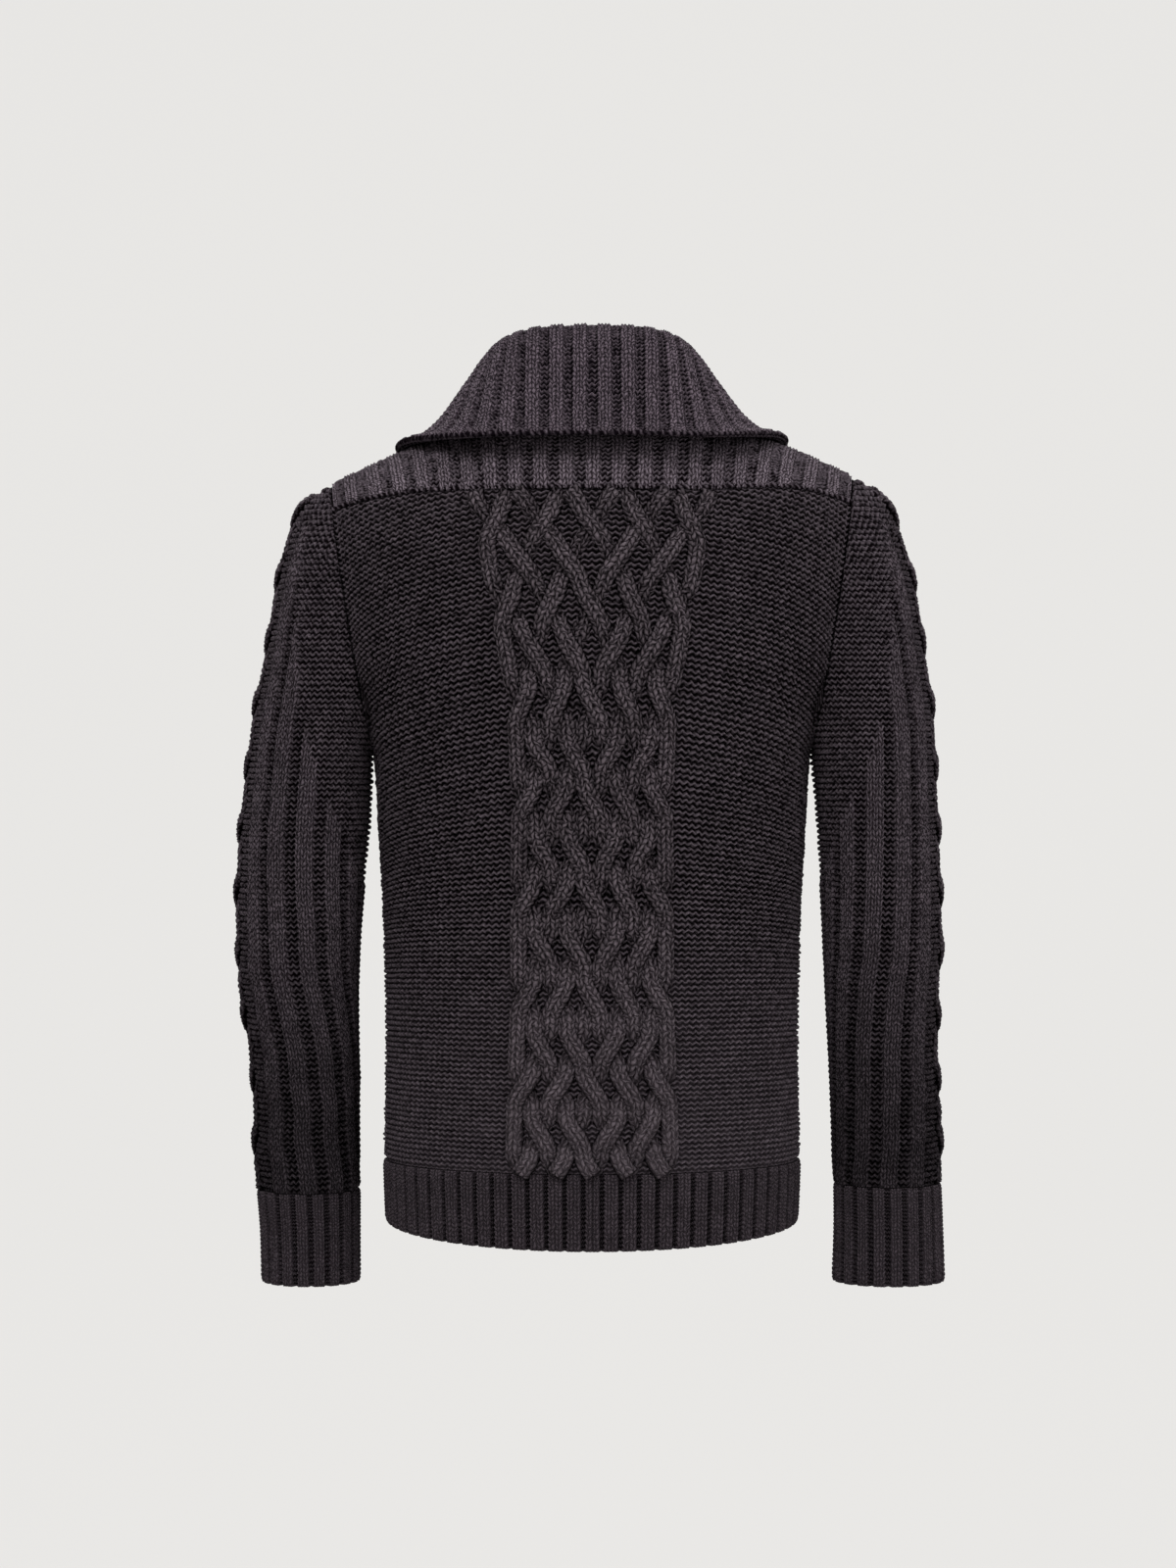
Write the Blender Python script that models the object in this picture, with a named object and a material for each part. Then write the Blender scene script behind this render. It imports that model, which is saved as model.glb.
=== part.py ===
"""Cable knit sweater, hollow and standing off the figure as it is worn, in metres.

The front of the garment faces -Y, +X is the wearer's left and +Z is up. The origin lies between the
shoulders, at the height of the neck points. Every piece is a wall of knitted cloth. Its outer points
carry the ribs and cables, its inner points are plain, and rims join the two. Pieces stand 0.4 mm or
more apart at their seams.
"""

import math

import bmesh
import bpy
import numpy as np

COLLECTION = "cable_knit_sweater"

SEAM_GAP = 0.0006
WALL = 0.0035
COLLAR_WALL = 0.0044

# Heights of the seams and edges.
HEM_EDGE_Z = -0.634
HEM_BACK_DROOP = 0.012
HEM_SEAM_Z = -0.5865
YOKE_SEAM_Z = -0.063
YOKE_SEAM_FALL = 0.012
FRONT_TURN_Z = -0.075
V_POINT_Z = -0.212

# The armhole is an ellipse in a plane that leans out towards the shoulder point.
ARMHOLE_TOP = (0.2065, -0.0515)
ARMHOLE_FOOT = (0.1725, -0.2620)
ARMHOLE_DEPTH = 0.062

# Neck points, where the shoulder seams meet the collar, and the depth of the back neck.
NECK_HALF_WIDTH = 0.085
NECK_POINT_Z = 0.003
NECK_BACK_Y = 0.068
NECK_BACK_Z = -0.004

# Ribs: distance from rib to rib, share of it that stands up, and height. Where only the share and the
# height are given, the distance is four columns of points. The slope is the share of a rib's width
# over which it rises.
RIB_SLOPE = 0.25
YOKE_RIB = (0.0205, 0.56, 0.0020)
HEM_RIBS = 61
CUFF_RIBS = 19
SMALL_RIB = (0.70, 0.0018)
COLLAR_RIBS = 48
COLLAR_RIB = (0.62, 0.0022)
SLEEVE_RIB = (0.0232, 0.60, 0.0022)

# Plaited lattice: ten strands of two stitches each, crossing in rows that alternate.
STRANDS = 10
STRAND_HALF_WIDTH = 0.0056
STRAND_HEIGHT = 0.0042
UNDER_SHARE = 0.50
CROSSING_SPAN = 0.62
LATTICE_FADE = 0.006
LATTICE_GRID = (58, 31)
LATTICE_MARGIN = 0.1

# Points inside the body, the yoke and the front, from which their cloth faces away.
BODY_MIDDLE = (0.0, -0.005, -0.30)
YOKE_MIDDLE = (0.0, 0.0, -0.20)
FRONT_MIDDLE = (0.0, 0.0, -0.25)

# How the cloth is drawn out to the armhole: powers at its foot and above, and the height between.
SEAM_PULL = (9.0, 2.2)
SEAM_PULL_HEIGHT = 0.075

# The right shoulder is lifted, from this far out and over this width.
SHOULDER_LIFT = 0.0062
SHOULDER_LIFT_FROM = 0.075
SHOULDER_LIFT_WIDTH = 0.100

# Half the width of the V neck where the front turns over the shoulder, and the power of its curve.
V_TURN_HALF_WIDTH = 0.084
V_CURVE = 0.85

# The body's section ends this many degrees short of a quarter of an ellipse beside the armhole.
ARMHOLE_TURN_SHORT = 32.0

# The hem hangs lower behind, in full from this far behind the side seams.
HEM_DROOP_FROM_Y = 0.12

# How the rows of the back rise to the curved yoke seam: this power of their share of the height.
SEAM_RISE_POWER = 6

# Numbers of points: columns by rows, or as named.
LEVELS_BELOW_ARMHOLE = 8
ARMHOLE_FIRST_ANGLE = -76.0
ARMHOLE_ANGLE_STEP = 14.0
BACK_SIDE_COLUMNS = 5
BACK_SIDE_START = 0.12
LINING_COLUMNS = 13
YOKE_OUTER_COLUMNS = 81
YOKE_INNER_COLUMNS = 33
YOKE_ROWS = 5
FRONT_COLUMNS = 7
SLEEVE_COLUMNS_ROUND = 52
SLEEVE_LINING_ROUND = 16
COLLAR_ROWS = 8
COLLAR_FINE = 384

# The collar's two arcs meet at the fold, at this share of its width. Each end of an arc leaves along
# a mix of outwards and down, given as shares of the arc's chord; at the free edge the two add up to
# COLLAR_TO_EDGE. Ribs are parallel behind, and spread where the share along a row lies in RIB_SPREAD.
COLLAR_FOLD_AT = 0.40
COLLAR_SEAM_RISE = 0.9
COLLAR_INTO_FOLD = (0.50, 0.45)
COLLAR_FROM_FOLD = (0.40, 0.36)
COLLAR_TO_EDGE = 1.15
RIB_SPREAD = (0.10, 0.75)


def table(columns, rows):
    """A table with named columns, one row for each section, as a dict of arrays."""
    return dict(zip(columns.split(), np.array(rows, dtype=float).T))


TORSO = table(
    "z half_width back_y front_y",
    [
        (-0.6500, 0.1610, 0.1170, -0.1200),
        (-0.5900, 0.1635, 0.1200, -0.1240),
        (-0.5000, 0.1625, 0.1130, -0.1250),
        (-0.4000, 0.1645, 0.1060, -0.1260),
        (-0.3200, 0.1685, 0.1130, -0.1300),
        (-0.2620, 0.1725, 0.1190, -0.1320),
        (-0.2000, 0.1820, 0.1230, -0.1290),
        (-0.1300, 0.1940, 0.1200, -0.1170),
        (-0.0630, 0.2050, 0.1060, -0.0960),
        (-0.0300, 0.2080, 0.0950, -0.0850),
    ],
)

# Sleeve sections from the armhole to the cuff: the ends of each oval in the XZ plane, and its depth.
SLEEVE_COLUMNS = "outer_x outer_z inner_x inner_z half_depth middle_y"
SLEEVE_LEFT = table(
    SLEEVE_COLUMNS,
    [
        (0.2075, -0.0520, 0.1745, -0.2620, 0.0620, 0.0000),
        (0.2278, -0.0690, 0.1755, -0.2690, 0.0640, 0.0000),
        (0.2396, -0.0980, 0.1760, -0.2770, 0.0650, 0.0000),
        (0.2481, -0.1350, 0.1762, -0.2870, 0.0650, 0.0000),
        (0.2556, -0.1830, 0.1767, -0.3010, 0.0645, -0.0010),
        (0.2651, -0.2300, 0.1777, -0.3180, 0.0635, -0.0025),
        (0.2711, -0.2750, 0.1800, -0.3400, 0.0620, -0.0045),
        (0.2771, -0.3250, 0.1830, -0.3670, 0.0600, -0.0070),
        (0.2804, -0.3830, 0.1865, -0.4050, 0.0570, -0.0105),
        (0.2791, -0.4250, 0.1880, -0.4350, 0.0545, -0.0130),
        (0.2746, -0.4720, 0.1888, -0.4740, 0.0515, -0.0160),
        (0.2686, -0.5150, 0.1885, -0.5150, 0.0485, -0.0190),
        (0.2673, -0.5620, 0.1885, -0.5620, 0.0455, -0.0215),
        (0.2658, -0.6130, 0.1878, -0.6130, 0.0430, -0.0240),
    ],
)
SLEEVE_RIGHT = table(
    SLEEVE_COLUMNS,
    [
        (0.2075, -0.0520, 0.1745, -0.2620, 0.0620, 0.0000),
        (0.2298, -0.0680, 0.1755, -0.2690, 0.0640, 0.0000),
        (0.2426, -0.0980, 0.1765, -0.2770, 0.0650, 0.0000),
        (0.2531, -0.1350, 0.1775, -0.2870, 0.0650, 0.0000),
        (0.2606, -0.1830, 0.1788, -0.3010, 0.0645, -0.0010),
        (0.2676, -0.2300, 0.1805, -0.3180, 0.0635, -0.0025),
        (0.2701, -0.2750, 0.1820, -0.3400, 0.0620, -0.0045),
        (0.2726, -0.3250, 0.1840, -0.3670, 0.0600, -0.0070),
        (0.2751, -0.3830, 0.1862, -0.4050, 0.0570, -0.0105),
        (0.2744, -0.4250, 0.1875, -0.4350, 0.0545, -0.0130),
        (0.2734, -0.4720, 0.1898, -0.4740, 0.0515, -0.0160),
        (0.2734, -0.5150, 0.1922, -0.5150, 0.0485, -0.0190),
        (0.2753, -0.5620, 0.1942, -0.5620, 0.0455, -0.0215),
        (0.2773, -0.6080, 0.1960, -0.6080, 0.0430, -0.0240),
    ],
)
CUFF_LEFT = table(
    SLEEVE_COLUMNS,
    [
        (0.2665, -0.6138, 0.1880, -0.6138, 0.0422, -0.0240),
        (0.2640, -0.6460, 0.1882, -0.6460, 0.0408, -0.0255),
        (0.2630, -0.6875, 0.1882, -0.6875, 0.0400, -0.0270),
    ],
)
CUFF_RIGHT = table(
    SLEEVE_COLUMNS,
    [
        (0.2780, -0.6088, 0.1962, -0.6088, 0.0422, -0.0240),
        (0.2795, -0.6440, 0.1965, -0.6440, 0.0412, -0.0255),
        (0.2812, -0.6875, 0.1952, -0.6875, 0.0410, -0.0270),
    ],
)

# Where each rib of a sleeve begins, by its place from the cable panel towards the underarm. The panel's
# two strands swing to and fro: swing, period, half their width, and height. Ribs and strands grow to
# their full height over SLEEVE_FORM_GROW.
SLEEVE_RIB_STARTS_Z = (-0.066, -0.140, -0.230, -0.290, -0.330, -0.360)
SLEEVE_PANEL_HALF_WIDTH = 0.033
SLEEVE_PANEL_EDGE = 0.004
SLEEVE_CABLE = (0.0085, 0.100, 0.0060, 0.0040)
SLEEVE_CABLE_TOP_Z = -0.070
SLEEVE_FORM_GROW = 0.020

# Rows where lattice strands cross, with the distance between neighbouring crossings in the row.
# pairs 0 crosses strands 0-1, 2-3 ...; pairs 1 crosses 1-2, 3-4 ....
LATTICE = table(
    "z spacing pairs",
    [
        (-0.0600, 0.0415, 1),
        (-0.0905, 0.0378, 0),
        (-0.1195, 0.0356, 1),
        (-0.1540, 0.0325, 0),
        (-0.1885, 0.0294, 1),
        (-0.2280, 0.0263, 0),
        (-0.2675, 0.0255, 1),
        (-0.3030, 0.0248, 0),
        (-0.3415, 0.0249, 1),
        (-0.3770, 0.0251, 0),
        (-0.4155, 0.0251, 1),
        (-0.4530, 0.0252, 0),
        (-0.4910, 0.0257, 1),
        (-0.5215, 0.0262, 0),
        (-0.5555, 0.0266, 1),
        (-0.5850, 0.0270, 0),
    ],
)

# The collar from the middle of the back (0) to the point of the V (1): its seam to the neck edge,
# its fold, the free edge of its fall, and how far outwards the fall runs there.
COLLAR = table(
    "at seam_x seam_y seam_z fold_x fold_y fold_z edge_x edge_y edge_z flare",
    [
        (0.00, 0.0000, 0.0620, -0.006, 0.0000, 0.0740, 0.0630, 0.0000, 0.1200, -0.0215, 0.40),
        (0.12, 0.0440, 0.0510, -0.005, 0.0420, 0.0640, 0.0620, 0.0700, 0.1070, -0.0212, 0.50),
        (0.24, 0.0680, 0.0230, -0.003, 0.0670, 0.0310, 0.0580, 0.1210, 0.0690, -0.0200, 0.80),
        (0.36, 0.0790, -0.0080, -0.002, 0.0730, -0.0150, 0.0510, 0.1520, 0.0120, -0.0195, 0.85),
        (0.50, 0.0790, -0.0500, -0.020, 0.0720, -0.0640, 0.0200, 0.1505, -0.0590, -0.0335, 0.85),
        (0.65, 0.0770, -0.0970, -0.078, 0.0650, -0.1160, -0.0380, 0.1280, -0.1060, -0.0880, 0.85),
        (0.82, 0.0410, -0.1230, -0.145, 0.0370, -0.1470, -0.1180, 0.0840, -0.1340, -0.1780, 0.85),
        (1.00, 0.0045, -0.1345, -0.205, 0.0045, -0.1580, -0.1910, 0.0045, -0.1440, -0.2520, 0.85),
    ],
)


def smooth(knots, values, at):
    """Values between knots on a smooth curve: a cubic in each span, with slopes from neighbours."""
    knots, values = np.asarray(knots, float), np.asarray(values, float)
    if knots[0] > knots[-1]:
        knots, values = knots[::-1], values[::-1]
    slopes = np.gradient(values, knots)
    at = np.clip(at, knots[0], knots[-1])
    span = np.clip(np.searchsorted(knots, at) - 1, 0, len(knots) - 2)
    width = knots[span + 1] - knots[span]
    t = (at - knots[span]) / width
    start, end = values[span], values[span + 1]
    rise_start, rise_end = slopes[span] * width, slopes[span + 1] * width
    return (
        (2 * t**3 - 3 * t**2 + 1) * start
        + (t**3 - 2 * t**2 + t) * rise_start
        + (3 * t**2 - 2 * t**3) * end
        + (t**3 - t**2) * rise_end
    )


def ease(t):
    """A smooth step from 0 to 1."""
    t = np.clip(t, 0.0, 1.0)
    return t * t * (3 - 2 * t)


# ---------------------------------------------------------------------------------------------
# Surfaces of the body


def armhole(angle):
    """A point of the left armhole: the angle runs from the foot (-90) over the back (0) to the top (90)."""
    rise = np.sin(np.radians(angle))
    x = (ARMHOLE_TOP[0] + ARMHOLE_FOOT[0]) / 2 + (ARMHOLE_TOP[0] - ARMHOLE_FOOT[0]) / 2 * rise
    z = (ARMHOLE_TOP[1] + ARMHOLE_FOOT[1]) / 2 + (ARMHOLE_TOP[1] - ARMHOLE_FOOT[1]) / 2 * rise
    return x, ARMHOLE_DEPTH * np.cos(np.radians(angle)), z


def armhole_angle(z):
    """The armhole's angle at a height, -90 below its foot."""
    middle = (ARMHOLE_TOP[1] + ARMHOLE_FOOT[1]) / 2
    half = (ARMHOLE_TOP[1] - ARMHOLE_FOOT[1]) / 2
    return np.degrees(np.arcsin(np.clip((z - middle) / half, -1.0, 1.0)))


def section(z, side, samples=181):
    """Half of the body's section at heights z, from its middle to the side seam or armhole, as x and y.

    It is part of an ellipse, drawn out at its end to meet the armhole; side is 1 for the back and
    -1 for the front. Near the armhole's foot only the cloth by the seam is drawn out.
    """
    z = np.atleast_1d(z)[:, None]
    sweep = np.linspace(0.0, 1.0, samples)[None, :]
    depth = smooth(TORSO["z"], TORSO["back_y" if side > 0 else "front_y"], z)
    width = smooth(TORSO["z"], TORSO["half_width"], z)
    edge_x, edge_y, _ = armhole(armhole_angle(z))
    below = z <= ARMHOLE_FOOT[1]
    end_x = np.where(below, width, edge_x)
    end_y = side * np.where(below, SEAM_GAP / 2, np.maximum(edge_y, SEAM_GAP / 2))
    beside = ease((z - ARMHOLE_FOOT[1]) / (YOKE_SEAM_Z - ARMHOLE_FOOT[1]))
    turn = np.radians(90.0 - ARMHOLE_TURN_SHORT * beside)
    x = end_x * np.sin(sweep * turn) / np.sin(turn)
    above = ease((z - ARMHOLE_FOOT[1]) / SEAM_PULL_HEIGHT)
    pull = sweep ** (SEAM_PULL[0] + (SEAM_PULL[1] - SEAM_PULL[0]) * above)
    y = depth * (np.cos(sweep * turn) - np.cos(turn)) / (1 - np.cos(turn)) + end_y * pull
    return x, y


def around(z, distance, side, share=False):
    """Points of the body at heights z, a distance along the cloth from its middle, or a share of it."""
    z, distance = np.broadcast_arrays(z, distance)
    heights, rows = np.unique(z, return_inverse=True)
    x, y = section(heights, side)
    steps = np.hypot(np.diff(x, axis=1), np.diff(y, axis=1))
    length = np.concatenate([np.zeros((len(heights), 1)), np.cumsum(steps, axis=1)], axis=1)
    out = np.zeros(z.shape + (3,))
    flat, goal, rows = out.reshape(-1, 3), distance.ravel(), rows.ravel()
    for row in range(len(heights)):
        here = rows == row
        reach = np.abs(goal[here]) * (length[row, -1] if share else 1.0)
        flat[here, 0] = np.sign(goal[here]) * np.interp(reach, length[row], x[row])
        flat[here, 1] = np.interp(reach, length[row], y[row])
        flat[here, 2] = heights[row]
    return out


def half_girth(z, side):
    """Length of cloth from the middle to the side seam or armhole, at heights z."""
    x, y = section(z, side)
    return np.hypot(np.diff(x, axis=1), np.diff(y, axis=1)).sum(axis=1)


def normals_of(points, centre, closed=False):
    """Unit normals of a grid of points, from its rows and columns, turned away from a centre."""
    if closed:
        across = np.roll(points, -1, axis=1) - np.roll(points, 1, axis=1)
    else:
        across = np.gradient(points, axis=1)
    along = np.gradient(points, axis=0)
    normal = np.cross(across, along)
    normal /= np.linalg.norm(normal, axis=2, keepdims=True)
    away = np.sum(normal * (points - centre), axis=2, keepdims=True)
    return normal * np.sign(away)


def into_plane(vectors, plane_normal):
    """Vectors laid into a plane, at their own length, so that an edge face stays in that plane."""
    plane_normal = np.asarray(plane_normal, float) / np.linalg.norm(plane_normal)
    length = np.linalg.norm(vectors, axis=-1, keepdims=True)
    laid = vectors - (vectors @ plane_normal)[..., None] * plane_normal
    return laid / np.linalg.norm(laid, axis=-1, keepdims=True) * length


def armhole_plane(sign):
    """The normal of the plane that the armhole lies in."""
    lean_x, lean_z = ARMHOLE_TOP[0] - ARMHOLE_FOOT[0], ARMHOLE_TOP[1] - ARMHOLE_FOOT[1]
    return (sign * lean_z, 0.0, -lean_x)


def rib_height(place, pitch, share, height):
    """Height of the ribs at a distance along the cloth: flat crests with sloping sides."""
    phase = np.abs((place / pitch) % 1.0 - 0.5) * 2
    return height * np.clip((share - phase) / RIB_SLOPE + 0.5, 0.0, 1.0)


def lift_shoulder(points):
    """The wearer's right shoulder sits a little higher, and all that lies there moves with it."""
    outwards = ease((-points[:, 0] - SHOULDER_LIFT_FROM) / SHOULDER_LIFT_WIDTH)
    upwards = ease((points[:, 2] - ARMHOLE_FOOT[1]) / (ARMHOLE_TOP[1] - ARMHOLE_FOOT[1]))
    return points + np.stack([0 * outwards, 0 * outwards, SHOULDER_LIFT * outwards * upwards], -1)


# ---------------------------------------------------------------------------------------------
# Closed walls


class Wall:
    """Collects grids of points and the faces between them, and makes one closed body."""

    def __init__(self):
        self.points = []
        self.faces = []
        self.count = 0

    def add(self, grid):
        """Keep a grid's points and return their numbers."""
        grid = np.asarray(grid, float)
        numbers = np.arange(self.count, self.count + grid[..., 0].size).reshape(grid.shape[:-1])
        self.points.append(grid.reshape(-1, 3))
        self.count += numbers.size
        return numbers

    def skin(self, ids, closed=False):
        """Quads between the rows of a grid; closed joins its last column to its first."""
        if closed:
            ids = np.concatenate([ids, ids[:, :1]], axis=1)
        corners = (ids[:-1, :-1], ids[:-1, 1:], ids[1:, 1:], ids[1:, :-1])
        self.faces += np.stack(corners, axis=-1).reshape(-1, 4).tolist()

    def strip(self, first, second, even=False):
        """Triangles between two edges with their own numbers of points.

        The points are matched by their share of the edge's length, or of its count where even.
        """
        i, j = 0, 0
        places = np.concatenate(self.points)
        middles = []
        for edge in (first, second):
            steps = np.linalg.norm(np.diff(places[edge], axis=0), axis=1)
            if even:
                steps = np.ones(len(edge) - 1)
            middles.append(np.append((np.cumsum(steps) - steps / 2) / steps.sum(), 2.0))
        while i < len(first) - 1 or j < len(second) - 1:
            if middles[0][i] <= middles[1][j]:
                self.faces.append([int(first[i]), int(first[i + 1]), int(second[j])])
                i += 1
            else:
                self.faces.append([int(first[i]), int(second[j + 1]), int(second[j])])
                j += 1

    def ring(self, first, second):
        """A strip between two closed edges that start at the same place."""
        self.strip(np.append(first, first[0]), np.append(second, second[0]), even=True)

    def finish(self, name, colour):
        """Make the mesh object, with its doubled points merged and its faces turned out."""
        mesh = bpy.data.meshes.new(name)
        mesh.from_pydata(lift_shoulder(np.concatenate(self.points)).tolist(), [], self.faces)
        body = bmesh.new()
        body.from_mesh(mesh)
        bmesh.ops.remove_doubles(body, verts=body.verts, dist=0.00002)
        bmesh.ops.triangulate(body, faces=body.faces)
        bmesh.ops.recalc_face_normals(body, faces=body.faces)
        body.to_mesh(mesh)
        body.free()
        mesh.materials.append(knit_material(name + "_knit", colour))
        made = bpy.data.objects.new(name, mesh)
        bpy.data.collections[COLLECTION].objects.link(made)
        return made


def knit_material(name, colour):
    """Matt dark yarn."""
    material = bpy.data.materials.new(name)
    material.use_nodes = True
    shader = material.node_tree.nodes["Principled BSDF"]
    shader.inputs["Base Color"].default_value = (*colour, 1.0)
    shader.inputs["Roughness"].default_value = 0.9
    shader.inputs["Metallic"].default_value = 0.0
    return material


def tube(name, outer, inner, colour):
    """A closed wall from an outer and an inner grid that both run round a hollow."""
    wall = Wall()
    skin, lining = wall.add(outer), wall.add(inner)
    wall.skin(skin, closed=True)
    wall.skin(lining, closed=True)
    wall.ring(skin[0], lining[0])
    wall.ring(skin[-1], lining[-1])
    return wall.finish(name, colour)


def sheet(name, outer, inner, colour):
    """A closed wall from an outer and an inner grid with four free edges."""
    wall = Wall()
    skin, lining = wall.add(outer), wall.add(inner)
    wall.skin(skin)
    wall.skin(lining)
    for edge in ((0, slice(None)), (-1, slice(None)), (slice(None), 0), (slice(None), -1)):
        wall.strip(skin[edge], lining[edge], even=True)
    return wall.finish(name, colour)


# ---------------------------------------------------------------------------------------------
# The lattice


def lattice_spacing(z):
    """Distance between neighbouring crossings at a height."""
    return smooth(LATTICE["z"], LATTICE["spacing"], z)


def strand_paths(z):
    """Slots of the ten strands at heights z, and how far each lies under another (0 to 1).

    Slots count towards the wearer's left. A strand keeps its slot between crossings and moves over
    by one at each. In the rows of pairs 0 the strand that moves towards the wearer's left goes over
    on that side and under elsewhere; in the rows of pairs 1 it is the other way.
    """
    slots = np.repeat(np.arange(STRANDS, dtype=float)[:, None], len(z), axis=1)
    under = np.zeros_like(slots)
    holder = list(range(STRANDS))
    rows = len(LATTICE["z"])
    for row in range(rows):
        centre, first = LATTICE["z"][row], int(LATTICE["pairs"][row])
        gap = abs(np.gradient(LATTICE["z"])[row])
        moved = ease((centre - z) / (gap * CROSSING_SPAN * 2) + 0.5)
        near = np.clip(1 - np.abs(z - centre) / (gap * CROSSING_SPAN), 0.0, 1.0)
        for slot in range(first, STRANDS - 1, 2):
            left, right = holder[slot], holder[slot + 1]
            slots[left] += moved
            slots[right] -= moved
            towards_left = slot >= STRANDS / 2
            hidden = right if towards_left == (first == 0) else left
            under[hidden] = np.maximum(under[hidden], near)
            holder[slot], holder[slot + 1] = right, left
    return slots, under


def lattice_height(slot_place, z):
    """Height of the lattice at slot places (rows by columns) and heights z (one for each row)."""
    slots, under = strand_paths(z)
    half = lattice_spacing(z) / 2
    height = np.zeros_like(slot_place)
    for strand in range(STRANDS):
        away = (slot_place - (slots[strand] - (STRANDS - 1) / 2)[:, None]) * half[:, None]
        crown = np.sqrt(np.clip(1 - (away / STRAND_HALF_WIDTH) ** 2, 0.0, 1.0))
        lift = STRAND_HEIGHT * (1 - UNDER_SHARE * under[strand])[:, None]
        height = np.maximum(height, crown * lift)
    within = ease((YOKE_SEAM_Z - z) / LATTICE_FADE) * ease((z - HEM_SEAM_Z) / LATTICE_FADE)
    return height * within[:, None]


# ---------------------------------------------------------------------------------------------
# The pieces

BODY_COLOUR = (0.022, 0.017, 0.021)
COLLAR_COLOUR = (0.036, 0.027, 0.034)
SLEEVE_COLOUR = (0.024, 0.019, 0.022)


def body_levels(top):
    """Heights of the coarse rows of a body panel: even below the armhole, by its angle above."""
    below = np.linspace(HEM_SEAM_Z, ARMHOLE_FOOT[1], LEVELS_BELOW_ARMHOLE)
    last = armhole_angle(top) - ARMHOLE_ANGLE_STEP / 2
    angles = np.arange(ARMHOLE_FIRST_ANGLE, last, ARMHOLE_ANGLE_STEP)
    return np.concatenate([below, armhole(angles)[2], [top]])


def yoke_seam_z(share):
    """The yoke seam falls a little towards the shoulders."""
    return YOKE_SEAM_Z - YOKE_SEAM_FALL * np.clip(np.abs(share) * 2 - 1, 0.0, 1.0) ** 2


def make_back_panel():
    """The back, from the hem band to the yoke, with the lattice raised on its middle.

    The lattice's grid is fine and the ground beside it is coarse; strips of triangles join them.
    """
    seam_end = float(yoke_seam_z(1.0))
    levels = body_levels(seam_end)
    rise = ((levels - HEM_SEAM_Z) / (seam_end - HEM_SEAM_Z))[:, None] ** SEAM_RISE_POWER
    reach = STRANDS / 2 + LATTICE_MARGIN
    fine_z = np.linspace(HEM_SEAM_Z, YOKE_SEAM_Z, LATTICE_GRID[0])
    slot_place = np.tile(np.linspace(-reach, reach, LATTICE_GRID[1]), (len(fine_z), 1))
    distance = slot_place * lattice_spacing(fine_z)[:, None] / 2
    fine = around(fine_z[:, None], distance, 1)
    fine += flat(normals_of(fine, BODY_MIDDLE)) * lattice_height(slot_place, fine_z)[..., None]

    wall = Wall()
    middle = wall.add(fine)
    wall.skin(middle)
    sides = {}
    for sign, column in ((-1, 0), (1, -1)):
        border = np.interp(levels, fine_z, np.abs(distance[:, column])) / half_girth(levels, 1)
        steps = np.linspace(BACK_SIDE_START, 1.0, BACK_SIDE_COLUMNS)
        shares = border[:, None] + (1 - border[:, None]) * steps
        heights = levels[:, None] + rise * (yoke_seam_z(shares) - seam_end)
        sides[sign] = wall.add(around(heights, sign * shares, 1, share=True))
        wall.skin(sides[sign])
        wall.strip(middle[:, column], sides[sign][:, 0])
    shares = np.tile(np.linspace(-1.0, 1.0, LINING_COLUMNS), (len(levels), 1))
    heights = levels[:, None] + rise * (yoke_seam_z(shares) - seam_end)
    lining = wall.add(inner_body(around(heights, shares, 1, share=True), levels))
    wall.skin(lining)
    for row in (0, -1):
        edge = np.concatenate([sides[-1][row, ::-1], middle[row], sides[1][row]])
        wall.strip(edge, lining[row])
    wall.strip(sides[-1][:, -1], lining[:, 0])
    wall.strip(sides[1][:, -1], lining[:, -1])
    wall.finish("back_panel", BODY_COLOUR)


def inner_body(points, levels):
    """The inner face of a body panel: its points moved in by the wall, with square edges."""
    inward = -normals_of(points, BODY_MIDDLE) * WALL
    for column in (0, -1):
        sign = np.sign(points[0, column, 0])
        below = levels <= ARMHOLE_FOOT[1]
        inward[below, column] = into_plane(inward[below, column], (0.0, 1.0, 0.0))
        inward[~below, column] = into_plane(inward[~below, column], armhole_plane(sign))
    for row in (0, -1):
        inward[row] = into_plane(inward[row], (0.0, 0.0, 1.0))
    return points + inward


def shoulder_z(x):
    """Height of the shoulder seam, straight from the neck point to the top of the armhole."""
    share = (np.abs(x) - NECK_HALF_WIDTH) / (ARMHOLE_TOP[0] - NECK_HALF_WIDTH)
    return NECK_POINT_Z + np.clip(share, 0.0, 1.0) * (ARMHOLE_TOP[1] - NECK_POINT_Z)


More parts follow.
